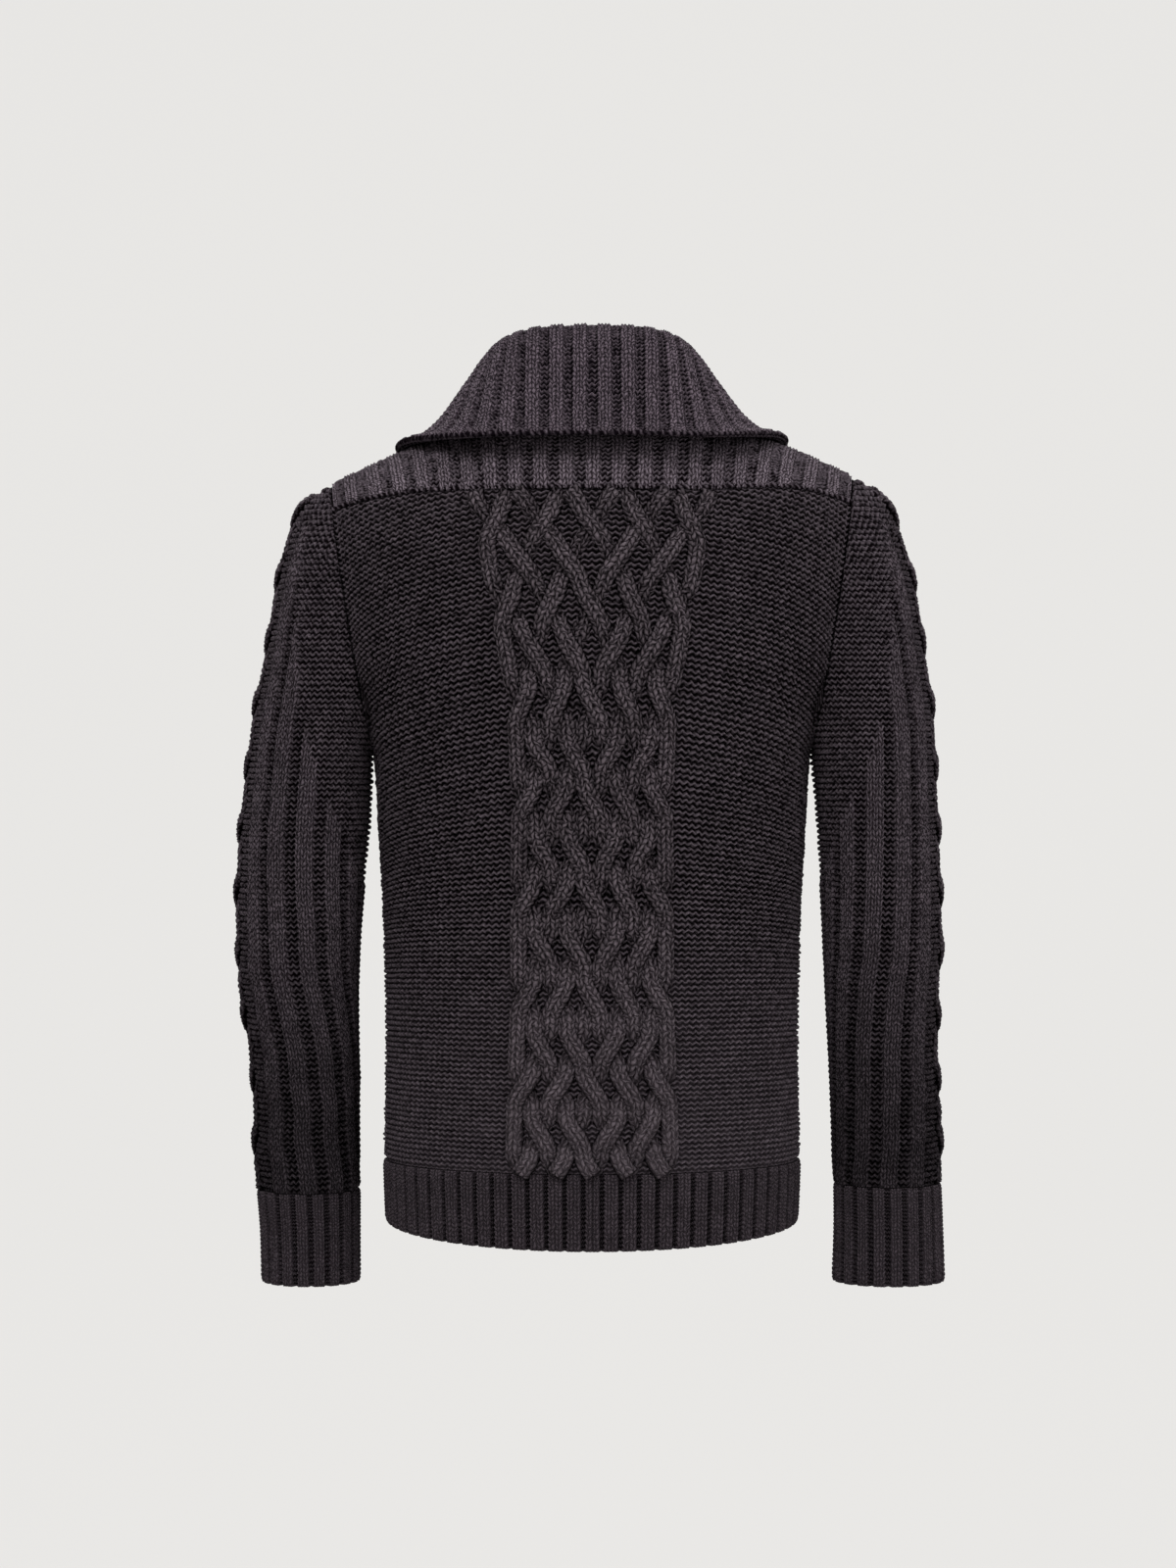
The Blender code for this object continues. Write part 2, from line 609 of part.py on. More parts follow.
def over_shoulder(low, rise, side, neck):
    """Rows that turn from the upper edge of a panel over the shoulder to its seam.

    Each column is part of an oval between its point on the edge and its point on the shoulder seam,
    or on the back neck where it ends there. The outermost one follows the armhole.
    """
    start = math.radians(float(armhole_angle(low[0, -1, 2])))
    angle = start + (math.pi / 2 - start) * rise[:, None]
    end_x = low[..., 0] * ARMHOLE_TOP[0] / low[0, -1, 0]
    across = np.clip(1 - (end_x / NECK_HALF_WIDTH) ** 2, 0.0, 1.0)
    end_y = side * (SEAM_GAP / 2 + neck * NECK_BACK_Y * np.sqrt(across))
    end_z = shoulder_z(end_x) + neck * (NECK_BACK_Z - NECK_POINT_Z) * across
    y = end_y + (low[..., 1] - end_y) * np.cos(angle) / math.cos(start)
    climb = (np.sin(angle) - math.sin(start)) / (1 - math.sin(start))
    z = low[..., 2] + (end_z - low[..., 2]) * climb
    foot_x, top_x = ARMHOLE_FOOT[0], ARMHOLE_TOP[0]
    x_edge = (foot_x + top_x) / 2 + (top_x - foot_x) / 2 * np.sin(angle)
    x = low[..., 0] * x_edge / low[0, -1, 0]
    return np.stack([x, y, z], axis=-1)


def inner_shoulder(points, centre):
    """The inner face of cloth over the shoulder, square at the armhole and at the seams."""
    inward = -normals_of(points, centre) * WALL
    inward[-1, 1:-1] = (0.0, 0.0, -WALL)
    for column in (0, -1):
        sign = np.sign(points[0, column, 0])
        inward[:, column] = into_plane(inward[:, column], armhole_plane(sign))
    inward[-1, (0, -1)] = into_plane(inward[-1, (0, -1)], (0.0, 1.0, 0.0))
    inward[0] = into_plane(inward[0], (0.0, 0.0, 1.0))
    return points + inward


def make_back_yoke():
    """The ribbed piece from the yoke seam up to the shoulder seams and the back neck."""

    def surface(columns, rows):
        shares = np.linspace(-1.0, 1.0, columns)[None, :]
        low = around(yoke_seam_z(shares), shares, 1, share=True)
        low[..., 2] += SEAM_GAP
        return over_shoulder(low, np.linspace(0.0, 1.0, rows), 1, 1.0), shares

    outer, shares = surface(YOKE_OUTER_COLUMNS, YOKE_ROWS)
    place = shares * half_girth(YOKE_SEAM_Z, 1)
    height = rib_height(place + YOKE_RIB[0] / 2, *YOKE_RIB)
    outer = outer + normals_of(outer, YOKE_MIDDLE) * np.where(np.abs(shares) == 1, 0, height)[..., None]
    inner, _ = surface(YOKE_INNER_COLUMNS, YOKE_ROWS)
    sheet("back_yoke", outer, inner_shoulder(inner, YOKE_MIDDLE), BODY_COLOUR)


def make_front_panel():
    """The plain front with the V neck: two halves that share the middle line below the V."""
    lower = body_levels(FRONT_TURN_Z)
    levels = np.unique(np.concatenate([lower, [V_POINT_Z]]))
    climb = np.linspace(0.0, 1.0, YOKE_ROWS)[1:]
    wall = Wall()
    grids = {}
    for sign in (-1, 1):
        for layer in ("outer", "inner"):
            shares = np.tile(np.linspace(0.0, 1.0, FRONT_COLUMNS), (len(levels), 1))
            opening = v_half_width(levels) / half_girth(levels, -1)
            shares = opening[:, None] + (1 - opening[:, None]) * shares
            body = around(levels[:, None], sign * shares, -1, share=True)
            top = over_shoulder(np.abs(body[-1:]) * (1, -1, -1), climb, -1, 0.0) * (sign, 1, 1)
            points = np.concatenate([body, top])
            if layer == "inner":
                points = inner_front(points, levels, sign)
            grids[sign, layer] = wall.add(points)
            wall.skin(grids[sign, layer])
    for sign in (-1, 1):
        outer, inner = grids[sign, "outer"], grids[sign, "inner"]
        v_row = int(np.searchsorted(levels, V_POINT_Z))
        wall.strip(outer[0], inner[0])
        wall.strip(outer[-1], inner[-1])
        wall.strip(outer[:, -1], inner[:, -1])
        wall.strip(outer[v_row:, 0], inner[v_row:, 0])
    wall.finish("front_panel", BODY_COLOUR)


def v_half_width(z):
    """Half the width of the V neck at a height."""
    share = np.clip((z - V_POINT_Z) / (FRONT_TURN_Z - V_POINT_Z), 0.0, 1.0)
    return V_TURN_HALF_WIDTH * share**V_CURVE


def inner_front(points, levels, sign):
    """The inner face of half the front, square at its side, armhole and seams."""
    inward = -normals_of(points, FRONT_MIDDLE) * WALL
    below = np.zeros(len(points), bool)
    below[: len(levels)] = levels <= ARMHOLE_FOOT[1]
    inward[below, -1] = into_plane(inward[below, -1], (0.0, 1.0, 0.0))
    inward[~below, -1] = into_plane(inward[~below, -1], armhole_plane(sign))
    middle = np.zeros(len(points), bool)
    middle[: len(levels)] = levels <= V_POINT_Z
    inward[middle, 0] = into_plane(inward[middle, 0], (1.0, 0.0, 0.0))
    inward[0] = into_plane(inward[0], (0.0, 0.0, 1.0))
    inward[-1] = into_plane(inward[-1], (0.0, 1.0, 0.0))
    return points + inward


def make_hem_band():
    """The ribbed band below the panels, all round."""

    def surface(columns, heights):
        turn = np.arange(columns) / columns
        rings = []
        for share in heights:
            top = HEM_SEAM_Z - SEAM_GAP
            z = top + (HEM_EDGE_Z - top) * share
            back, front = float(half_girth(z, 1)[0]), float(half_girth(z, -1)[0])
            place = turn * (back + front) * 2
            on_back = (place < back) | (place > back + 2 * front)
            signed = np.where(place > back + 2 * front, place - 2 * (back + front), place)
            ring_back = around(np.full(columns, z), np.clip(signed, -back, back), 1)
            ring_front = around(np.full(columns, z), np.clip(back + front - place, -front, front), -1)
            ring = np.where(on_back[:, None], ring_back, ring_front)
            droop = np.clip(ring[:, 1] / HEM_DROOP_FROM_Y, 0.0, 1.0) * HEM_BACK_DROOP * share**2
            ring[:, 2] -= droop
            rings.append(ring)
        return np.array(rings)

    outer = surface(HEM_RIBS * 4, np.linspace(0.0, 1.0, 3))
    raised = rib_height(np.arange(HEM_RIBS * 4) + 0.5, 4.0, *SMALL_RIB)
    outer = outer + flat(normals_of(outer, BODY_MIDDLE, closed=True)) * raised[None, :, None]
    inner = surface(HEM_RIBS, np.linspace(0.0, 1.0, 2))
    inner = inner - flat(normals_of(inner, BODY_MIDDLE, closed=True)) * WALL
    tube("hem_band", outer, inner, BODY_COLOUR)


def flat(vectors):
    """Vectors laid level, at unit length."""
    laid = vectors * (1.0, 1.0, 0.0)
    return laid / np.linalg.norm(laid, axis=-1, keepdims=True)


def arm_rings(sections, rows, columns, sign):
    """Ovals along a sleeve or cuff: grid of points, and the middle of each oval.

    Columns start at the inner side and run over the back to the outer side and on over the front.
    """
    at = np.linspace(0.0, 1.0, len(sections["outer_x"]))
    here = {name: smooth(at, values, rows)[:, None] for name, values in sections.items()}
    angle = np.radians(-90.0 + 360.0 * np.arange(columns) / columns)[None, :]
    reach = np.sin(angle)
    x = (here["outer_x"] + here["inner_x"]) / 2 + (here["outer_x"] - here["inner_x"]) / 2 * reach
    z = (here["outer_z"] + here["inner_z"]) / 2 + (here["outer_z"] - here["inner_z"]) / 2 * reach
    y = here["middle_y"] + here["half_depth"] * np.cos(angle)
    points = np.stack([sign * x, y, z], axis=-1)
    return points, points.mean(axis=1, keepdims=True)


def square_ends(inward, points):
    """Lay the first and last rows of the inward steps into the planes of their own rings."""
    for row in (0, -1):
        ring = points[row]
        count = len(ring)
        first, second = ring[count // 4] - ring[0], ring[count // 2] - ring[0]
        inward[row] = into_plane(inward[row], np.cross(first, second))
    return inward


def make_sleeve(name, sections, sign):
    """A sleeve: purl ground by the armhole, ribs that start in steps, and a cable panel outside."""
    rows = np.concatenate([np.linspace(0.0, 0.30, 6), np.linspace(0.36, 1.0, 12)])
    outer, middle = arm_rings(sections, rows, SLEEVE_COLUMNS_ROUND, sign)
    normals = normals_of(outer, middle, closed=True)
    steps = np.linalg.norm(np.roll(outer, -1, axis=1) - outer, axis=2)
    place = np.concatenate([np.zeros((len(outer), 1)), np.cumsum(steps, axis=1)[:, :-1]], axis=1)
    crown = place[:, SLEEVE_COLUMNS_ROUND // 2][:, None]
    away = np.abs(place - crown)
    raised = sleeve_relief(place - crown, away, outer[..., 2])
    raised[0] = 0.0
    outer = outer + normals * raised[..., None]
    lining_rows = np.concatenate([[0.0, 0.06, 0.14, 0.24], np.linspace(0.36, 1.0, 7)])
    inner, inner_middle = arm_rings(sections, lining_rows, SLEEVE_LINING_ROUND, sign)
    inward = -normals_of(inner, inner_middle, closed=True) * WALL
    tube(name, outer, inner + square_ends(inward, inner), SLEEVE_COLOUR)


def sleeve_relief(place, away, z):
    """Height of a sleeve's ribs and cable at distances round it from its outer line."""
    pitch, share, height = SLEEVE_RIB
    nearest = np.round((away - SLEEVE_PANEL_HALF_WIDTH) / pitch - 0.5)
    starts = np.interp(nearest, np.arange(len(SLEEVE_RIB_STARTS_Z)), SLEEVE_RIB_STARTS_Z)
    grown = ease((starts - z) / SLEEVE_FORM_GROW)
    beyond = ease((away - SLEEVE_PANEL_HALF_WIDTH) / SLEEVE_PANEL_EDGE)
    ribs = rib_height(away - SLEEVE_PANEL_HALF_WIDTH, pitch, share, height) * grown * beyond
    swing, period, half_width, lift = SLEEVE_CABLE
    wave = swing * np.cos(2 * math.pi * z / period)
    strands = np.maximum(
        np.sqrt(np.clip(1 - ((place - wave) / half_width) ** 2, 0.0, 1.0)),
        np.sqrt(np.clip(1 - ((place + wave) / half_width) ** 2, 0.0, 1.0)),
    )
    return np.maximum(ribs, strands * lift * ease((SLEEVE_CABLE_TOP_Z - z) / SLEEVE_FORM_GROW))


def make_cuff(name, sections, sign):
    """A ribbed cuff that hangs from the end of its sleeve."""
    outer, middle = arm_rings(sections, np.linspace(0.0, 1.0, 3), CUFF_RIBS * 4, sign)
    raised = rib_height(np.arange(CUFF_RIBS * 4) + 0.5, 4.0, *SMALL_RIB)
    outer = outer + normals_of(outer, middle, closed=True) * raised[None, :, None]
    inner, inner_middle = arm_rings(sections, np.linspace(0.0, 1.0, 2), CUFF_RIBS, sign)
    inward = -normals_of(inner, inner_middle, closed=True) * WALL
    tube(name, outer, inner + square_ends(inward, inner), SLEEVE_COLOUR)


def collar_surface(columns, rows):
    """The middle surface of the collar, from its seam over the fold to its free edge.

    Each column is two cubic arcs that meet at the fold, where they run outwards and down. Columns
    run from the end on the wearer's right round the back to the end on the left; the ends meet at
    the point of the V. The result is a grid of points and its normals.
    """
    along = np.linspace(-1.0, 1.0, COLLAR_FINE + 1)
    across = np.linspace(0.0, 1.0, rows)
    side = np.where(along < 0, -1.0, 1.0)
    guide = {name: smooth(COLLAR["at"], COLLAR[name], np.abs(along)) for name in COLLAR}
    lines = {}
    for line in ("seam", "fold", "edge"):
        lines[line] = np.stack([side * guide[line + "_x"], guide[line + "_y"], guide[line + "_z"]], -1)
    out = lines["edge"] - lines["seam"]
    drop = lines["seam"] + lines["edge"] - 2 * lines["fold"]
    drop /= np.linalg.norm(drop, axis=1, keepdims=True)
    out -= np.sum(out * drop, axis=1, keepdims=True) * drop
    out /= np.linalg.norm(out, axis=1, keepdims=True)
    stand = np.linalg.norm(lines["fold"] - lines["seam"], axis=1, keepdims=True)
    fall = np.linalg.norm(lines["edge"] - lines["fold"], axis=1, keepdims=True)
    turn = COLLAR_FOLD_AT
    grid = np.zeros((rows, COLLAR_FINE + 1, 3))
    for row, place in enumerate(across):
        if place <= turn:
            t = place / turn
            start, end = lines["seam"], lines["fold"]
            lead = -drop * stand * COLLAR_SEAM_RISE
            trail = (out * COLLAR_INTO_FOLD[0] + drop * COLLAR_INTO_FOLD[1]) * stand
        else:
            t = (place - turn) / (1 - turn)
            start, end = lines["fold"], lines["edge"]
            lead = (out * COLLAR_FROM_FOLD[0] + drop * COLLAR_FROM_FOLD[1]) * fall
            flare = guide["flare"][:, None]
            trail = (out * flare + drop * (COLLAR_TO_EDGE - flare)) * fall
        grid[row] = (
            (2 * t**3 - 3 * t**2 + 1) * start
            + (t**3 - 2 * t**2 + t) * lead
            + (3 * t**2 - 2 * t**3) * end
            + (t**3 - t**2) * trail
        )
    grid = spread_ribs(grid, columns)
    across_step = np.gradient(grid, axis=1)
    down_step = np.gradient(grid, axis=0)
    normal = np.cross(across_step, down_step)
    normal /= np.linalg.norm(normal, axis=2, keepdims=True)
    for column in (0, -1):
        normal[:, column] = into_plane(normal[:, column], (1.0, 0.0, 0.0))
    return grid, normal


def spread_ribs(grid, columns):
    """Columns of the collar laid out so that its ribs stay parallel behind.

    From the middle of the back, columns are as far apart in every row as on the fold; what a row is
    longer or shorter is taken up where the share along it lies within RIB_SPREAD.
    """
    half = grid.shape[1] // 2
    fold_row = round(COLLAR_FOLD_AT * (len(grid) - 1))
    share = np.linspace(0.0, 1.0, columns // 2 + 1)
    taken = ease((share - RIB_SPREAD[0]) / (RIB_SPREAD[1] - RIB_SPREAD[0]))
    lengths = np.linalg.norm(np.diff(grid[:, half:], axis=1), axis=2).sum(axis=1)
    laid = np.zeros((len(grid), columns, 3))
    for row in range(len(grid)):
        goal = share * lengths[fold_row] + (lengths[row] - lengths[fold_row]) * taken
        for order in (slice(half, None), slice(half, None, -1)):
            points = grid[row, order]
            run = np.append(0.0, np.cumsum(np.linalg.norm(np.diff(points, axis=0), axis=1)))
            moved = np.stack([np.interp(goal, run, points[:, axis]) for axis in range(3)], axis=-1)
            if order.step is None:
                laid[row, columns // 2 :] = moved
            else:
                laid[row, : columns // 2 + 1] = moved[::-1]
    return laid


def make_collar():
    """The ribbed collar: a stand round the neck, folded over into a fall that lies on the shoulders."""
    grid, normal = collar_surface(COLLAR_RIBS * 4 + 1, COLLAR_ROWS)
    right_side = np.sign(normal[-1, COLLAR_RIBS * 2, 1])
    raised = rib_height(np.arange(COLLAR_RIBS * 4 + 1) + 0.5, 4.0, *COLLAR_RIB)
    outer = grid + normal * right_side * (COLLAR_WALL / 2 + raised[None, :, None])
    inner_grid, inner_normal = collar_surface(COLLAR_RIBS + 1, COLLAR_ROWS)
    inner = inner_grid - inner_normal * right_side * COLLAR_WALL / 2
    sheet("collar", outer, inner, COLLAR_COLOUR)


def clear_scene():
    """Remove every object and give the parts a collection of their own."""
    for leftover in list(bpy.data.objects):
        bpy.data.objects.remove(leftover, do_unlink=True)
    collection = bpy.data.collections.new(COLLECTION)
    bpy.context.scene.collection.children.link(collection)


clear_scene()
make_back_panel()
make_back_yoke()
make_front_panel()
make_sleeve("sleeve_left", SLEEVE_LEFT, 1)
make_sleeve("sleeve_right", SLEEVE_RIGHT, -1)
make_cuff("cuff_left", CUFF_LEFT, 1)
make_cuff("cuff_right", CUFF_RIGHT, -1)
make_hem_band()
make_collar()
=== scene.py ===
import math

import bmesh
import bpy
import numpy as np
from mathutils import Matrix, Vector


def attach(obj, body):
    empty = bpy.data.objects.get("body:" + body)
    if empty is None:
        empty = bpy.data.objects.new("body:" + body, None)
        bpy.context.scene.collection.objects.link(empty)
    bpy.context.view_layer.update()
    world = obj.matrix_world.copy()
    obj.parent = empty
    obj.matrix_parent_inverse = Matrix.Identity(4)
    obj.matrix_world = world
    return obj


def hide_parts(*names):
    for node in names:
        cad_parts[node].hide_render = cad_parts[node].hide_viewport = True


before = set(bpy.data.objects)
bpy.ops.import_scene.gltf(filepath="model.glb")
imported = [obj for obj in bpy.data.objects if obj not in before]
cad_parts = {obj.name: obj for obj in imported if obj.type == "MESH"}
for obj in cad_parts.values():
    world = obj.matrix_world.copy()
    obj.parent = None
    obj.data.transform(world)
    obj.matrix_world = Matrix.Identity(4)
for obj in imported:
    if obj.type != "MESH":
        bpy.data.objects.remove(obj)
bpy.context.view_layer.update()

# ---------------------------------------------------------------------------------------------
# Studio: a seamless pale sweep far below and behind the garment, which glows so that it is even,
# and large soft boxes. The camera looks at the back, level with the waist.

IMAGE_HEIGHT_PX = 1600
MM_PER_PX = 0.78
CAMERA_DISTANCE = 2.8
CAMERA_HEIGHT = -0.289
CAMERA_SIDE = 0.0031
SENSOR_MM = 36.0
SWEEP_HEX = "#e7e6e4"
SWEEP_GRAIN_HEX = ("#595857", "#5b5a59")
SWEEP_GLOW = 0.86
SWEEP_FLOOR_Z = -2.6
SWEEP_FRONT_Y = 7.0
SWEEP_WALL_Y = -4.2
SWEEP_TOP_Z = 6.0
SWEEP_TURN = 1.6
SWEEP_HALF_WIDTH = 9.0
AIR_HEX = "#f1f0ee"
AIR_STRENGTH = 0.75


def linear(hex_colour):
    """An sRGB hex colour as a linear RGBA value."""
    channels = [int(hex_colour[i : i + 2], 16) / 255 for i in (1, 3, 5)]
    turned = [c / 12.92 if c <= 0.04045 else ((c + 0.055) / 1.055) ** 2.4 for c in channels]
    return (*turned, 1.0)


def add_node(tree, kind, settings=None, inputs=None):
    """Add a shader node with its settings and links.

    settings are its properties, or values of its input sockets by name or number; inputs are the
    sockets that feed it, or plain numbers.
    """
    node = tree.nodes.new(kind)
    for name, value in (settings or {}).items():
        if isinstance(name, str) and hasattr(node, name):
            setattr(node, name, value)
        else:
            node.inputs[name].default_value = value
    for name, given in (inputs or {}).items():
        if isinstance(given, bpy.types.NodeSocket):
            tree.links.new(given, node.inputs[name])
        else:
            node.inputs[name].default_value = given
    return node


def new_material(name, settings):
    """A material with a Principled BSDF whose own sockets are set; returns it, its tree and shader."""
    material = bpy.data.materials.new(name)
    material.use_nodes = True
    tree = material.node_tree
    shader = tree.nodes["Principled BSDF"]
    for socket, value in settings.items():
        shader.inputs[socket].default_value = value
    return material, tree, shader


def mesh_piece(name, points, faces, material):
    """A mesh object at the origin from arrays of points and faces."""
    mesh = bpy.data.meshes.new(name)
    mesh.from_pydata(points.tolist(), [], faces)
    mesh.materials.append(material)
    mesh.shade_smooth()
    made = bpy.data.objects.new(name, mesh)
    bpy.context.scene.collection.objects.link(made)
    return made


def studio_sweep():
    """Floor, quarter-round and wall as one strip: its profile runs back, turns up and rises."""
    angle = np.linspace(0.0, math.pi / 2, 17)
    bend_y = SWEEP_WALL_Y + SWEEP_TURN * (1 - np.sin(angle))
    bend_z = SWEEP_FLOOR_Z + SWEEP_TURN * (1 - np.cos(angle))
    y = np.concatenate([[SWEEP_FRONT_Y], bend_y, [SWEEP_WALL_Y]])
    z = np.concatenate([[SWEEP_FLOOR_Z], bend_z, [SWEEP_TOP_Z]])
    left = np.stack([np.full_like(y, SWEEP_HALF_WIDTH), y, z], axis=-1)
    right = left * (-1, 1, 1)
    count = len(y)
    faces = [[i, i + 1, count + i + 1, count + i] for i in range(count - 1)]
    # Matt paper that glows: even and pale, with a grain that hardly shows.
    matt, tree, shader = new_material("matt_paper_sweep", {
        "Roughness": 0.95, "Emission Color": linear(SWEEP_HEX), "Emission Strength": SWEEP_GLOW,
    })
    places = add_node(tree, "ShaderNodeTexCoord")
    grain = add_node(tree, "ShaderNodeTexNoise", {"Scale": 3.0, "Detail": 2.0},
                     {"Vector": places.outputs["Object"]})
    dark, light = (linear(tone_hex) for tone_hex in SWEEP_GRAIN_HEX)
    tone = add_node(tree, "ShaderNodeMix", {"data_type": "RGBA", 6: dark, 7: light},
                    {0: grain.outputs["Fac"]})
    tree.links.new(tone.outputs[2], shader.inputs["Base Color"])
    return mesh_piece("studio_sweep", np.concatenate([left, right]), faces, matt)


studio_sweep()

camera_data = bpy.data.cameras.new("camera")
camera = bpy.data.objects.new("camera", camera_data)
bpy.context.scene.collection.objects.link(camera)
camera.location = (CAMERA_SIDE, CAMERA_DISTANCE, CAMERA_HEIGHT)
camera.rotation_euler = (math.pi / 2, 0.0, math.pi)
camera_data.sensor_fit = "VERTICAL"
camera_data.sensor_height = SENSOR_MM
camera_data.lens = SENSOR_MM * CAMERA_DISTANCE / (IMAGE_HEIGHT_PX * MM_PER_PX / 1000)
bpy.context.scene.camera = camera


def soft_box(name, place, aim, size, power):
    """A square area light at a place, turned to what it lights."""
    data = bpy.data.lights.new(name, "AREA")
    data.shape = "SQUARE"
    data.size = size
    data.energy = power
    light = bpy.data.objects.new(name, data)
    bpy.context.scene.collection.objects.link(light)
    light.location = place
    light.rotation_euler = (Vector(aim) - Vector(place)).to_track_quat("-Z", "Y").to_euler()
    return light


soft_box("key_box", (0.9, 2.6, 2.2), (0.0, 0.0, -0.2), 1.6, 95.0)
soft_box("fill_box", (-2.4, 2.2, 0.6), (0.0, 0.0, -0.3), 2.2, 45.0)
soft_box("front_box", (0.4, -3.0, 1.8), (0.0, 0.0, -0.2), 2.0, 60.0)
soft_box("top_box", (0.0, -0.3, 3.0), (0.0, 0.0, 0.0), 2.4, 45.0)

world = bpy.data.worlds.new("studio_air")
world.use_nodes = True
world.node_tree.nodes["Background"].inputs["Color"].default_value = linear(AIR_HEX)
world.node_tree.nodes["Background"].inputs["Strength"].default_value = AIR_STRENGTH
bpy.context.scene.world = world
bpy.context.scene.view_settings.view_transform = "Standard"

# ---------------------------------------------------------------------------------------------
# Back panel: chunky cotton yarn, about 3.5 mm thick, knitted with the purl side out, so that rows of
# interlocked loops run across it. It is knitted to shape up to the yoke, and linked to the hem band.

SEAM_GAP = 0.0006
WALL = 0.0035
HEM_EDGE_Z = -0.634
HEM_BACK_DROOP = 0.012
HEM_SEAM_Z = -0.5865
YOKE_SEAM_Z = -0.063
YOKE_SEAM_FALL = 0.012
ARMHOLE_TOP = (0.2065, -0.0515)
ARMHOLE_FOOT = (0.1725, -0.2620)
ARMHOLE_DEPTH = 0.062
SEAM_PULL_POWERS = (9.0, 2.2)
SEAM_PULL_HEIGHT = 0.075
SHOULDER_LIFT = 0.0062
SHOULDER_LIFT_FROM = 0.075
SHOULDER_LIFT_WIDTH = 0.100
SHOULDER_TURN_DEG = 32.0
BODY_HEIGHTS = (-0.66, -0.03)
BODY_MIDDLE = (0.0, -0.005, -0.30)

BACK_STITCHES = 80
BACK_ROWS = 126

# How far the loops of purl and knit stitches stand in and out, and the shares of a row by which
# their lines zigzag. A knit stitch has two legs between grooves. Edges are cast off, a little lower.
PURL_SWING = 0.0016
PURL_ZIGZAG = 0.21
KNIT_SWING = 0.0004
KNIT_SLANT = 0.45
LEG_HEIGHTS = (-0.0010, 0.0006, -0.0005, 0.0006, -0.0010)
EDGE_DROP = 0.0008
EDGE_ROWS = 1.2
UNEVEN_TENSION = 0.25
TENSION_SEED = 1
PLAIN_DEPTH = 0.85
LINING_DEPTH = 0.5


def table(columns, rows):
    """A table with named columns, one row for each section, as a dict of arrays."""
    return dict(zip(columns.split(), np.array(rows, dtype=float).T))


TORSO = table(
    "z half_width back_y front_y",
    [
        (-0.6500, 0.1610, 0.1170, -0.1200),
        (-0.5900, 0.1635, 0.1200, -0.1240),
        (-0.5000, 0.1625, 0.1130, -0.1250),
        (-0.4000, 0.1645, 0.1060, -0.1260),
        (-0.3200, 0.1685, 0.1130, -0.1300),
        (-0.2620, 0.1725, 0.1190, -0.1320),
        (-0.2000, 0.1820, 0.1230, -0.1290),
        (-0.1300, 0.1940, 0.1200, -0.1170),
        (-0.0630, 0.2050, 0.1060, -0.0960),
        (-0.0300, 0.2080, 0.0950, -0.0850),
    ],
)


def cubic(start, end, lead, trail, t):
    """A cubic from start to end, which leaves along lead and arrives along trail."""
    return (
        (2 * t**3 - 3 * t**2 + 1) * start
        + (t**3 - 2 * t**2 + t) * lead
        + (3 * t**2 - 2 * t**3) * end
        + (t**3 - t**2) * trail
    )


def smooth(knots, values, at):
    """Values between knots on a smooth curve: a cubic in each span, with slopes from neighbours."""
    knots, values = np.asarray(knots, float), np.asarray(values, float)
    if knots[0] > knots[-1]:
        knots, values = knots[::-1], values[::-1]
    slopes = np.gradient(values, knots)
    at = np.clip(at, knots[0], knots[-1])
    span = np.clip(np.searchsorted(knots, at) - 1, 0, len(knots) - 2)
    width = knots[span + 1] - knots[span]
    leads = slopes[span] * width, slopes[span + 1] * width
    return cubic(values[span], values[span + 1], *leads, (at - knots[span]) / width)


def ease(t):
    """A smooth step from 0 to 1."""
    t = np.clip(t, 0.0, 1.0)
    return t * t * (3 - 2 * t)


def unit(vectors):
    """Vectors brought to length 1."""
    return vectors / np.linalg.norm(vectors, axis=-1, keepdims=True)


def run_along(points):
    """Length from the first point of each row to each of its points."""
    steps = np.linalg.norm(np.diff(points, axis=-2), axis=-1)
    return np.concatenate([np.zeros((*steps.shape[:-1], 1)), np.cumsum(steps, axis=-1)], axis=-1)


def between(grid, row, column):
    """Values of a grid at fractional rows and columns, weighted from the four points around."""
    row = np.clip(row, 0, grid.shape[0] - 1)
    column = np.clip(column, 0, grid.shape[1] - 1)
    r0 = np.minimum(row.astype(int), grid.shape[0] - 2)
    c0 = np.minimum(column.astype(int), grid.shape[1] - 2)
    r, c = row - r0, column - c0
    if grid.ndim == 3:
        r, c = r[..., None], c[..., None]
    return (
        grid[r0, c0] * (1 - r) * (1 - c)
        + grid[r0 + 1, c0] * r * (1 - c)
        + grid[r0, c0 + 1] * (1 - r) * c
        + grid[r0 + 1, c0 + 1] * r * c
    )


def swung(low, high, share):
    """A value that is low where share is -1, high where it is 1, and in proportion between."""
    return (low + high) / 2 + (high - low) / 2 * share


def armhole(angle):
    """The left armhole: an oval that leans with the shoulder, from its foot (-90) to its top (90)."""
    x, z = (swung(foot, top, np.sin(np.radians(angle))) for foot, top in zip(ARMHOLE_FOOT, ARMHOLE_TOP))
    return x, ARMHOLE_DEPTH * np.cos(np.radians(angle)), z


def armhole_angle(z):
    """The armhole's angle at a height, -90 below its foot."""
    middle = (ARMHOLE_TOP[1] + ARMHOLE_FOOT[1]) / 2
    half = (ARMHOLE_TOP[1] - ARMHOLE_FOOT[1]) / 2
    return np.degrees(np.arcsin(np.clip((z - middle) / half, -1.0, 1.0)))


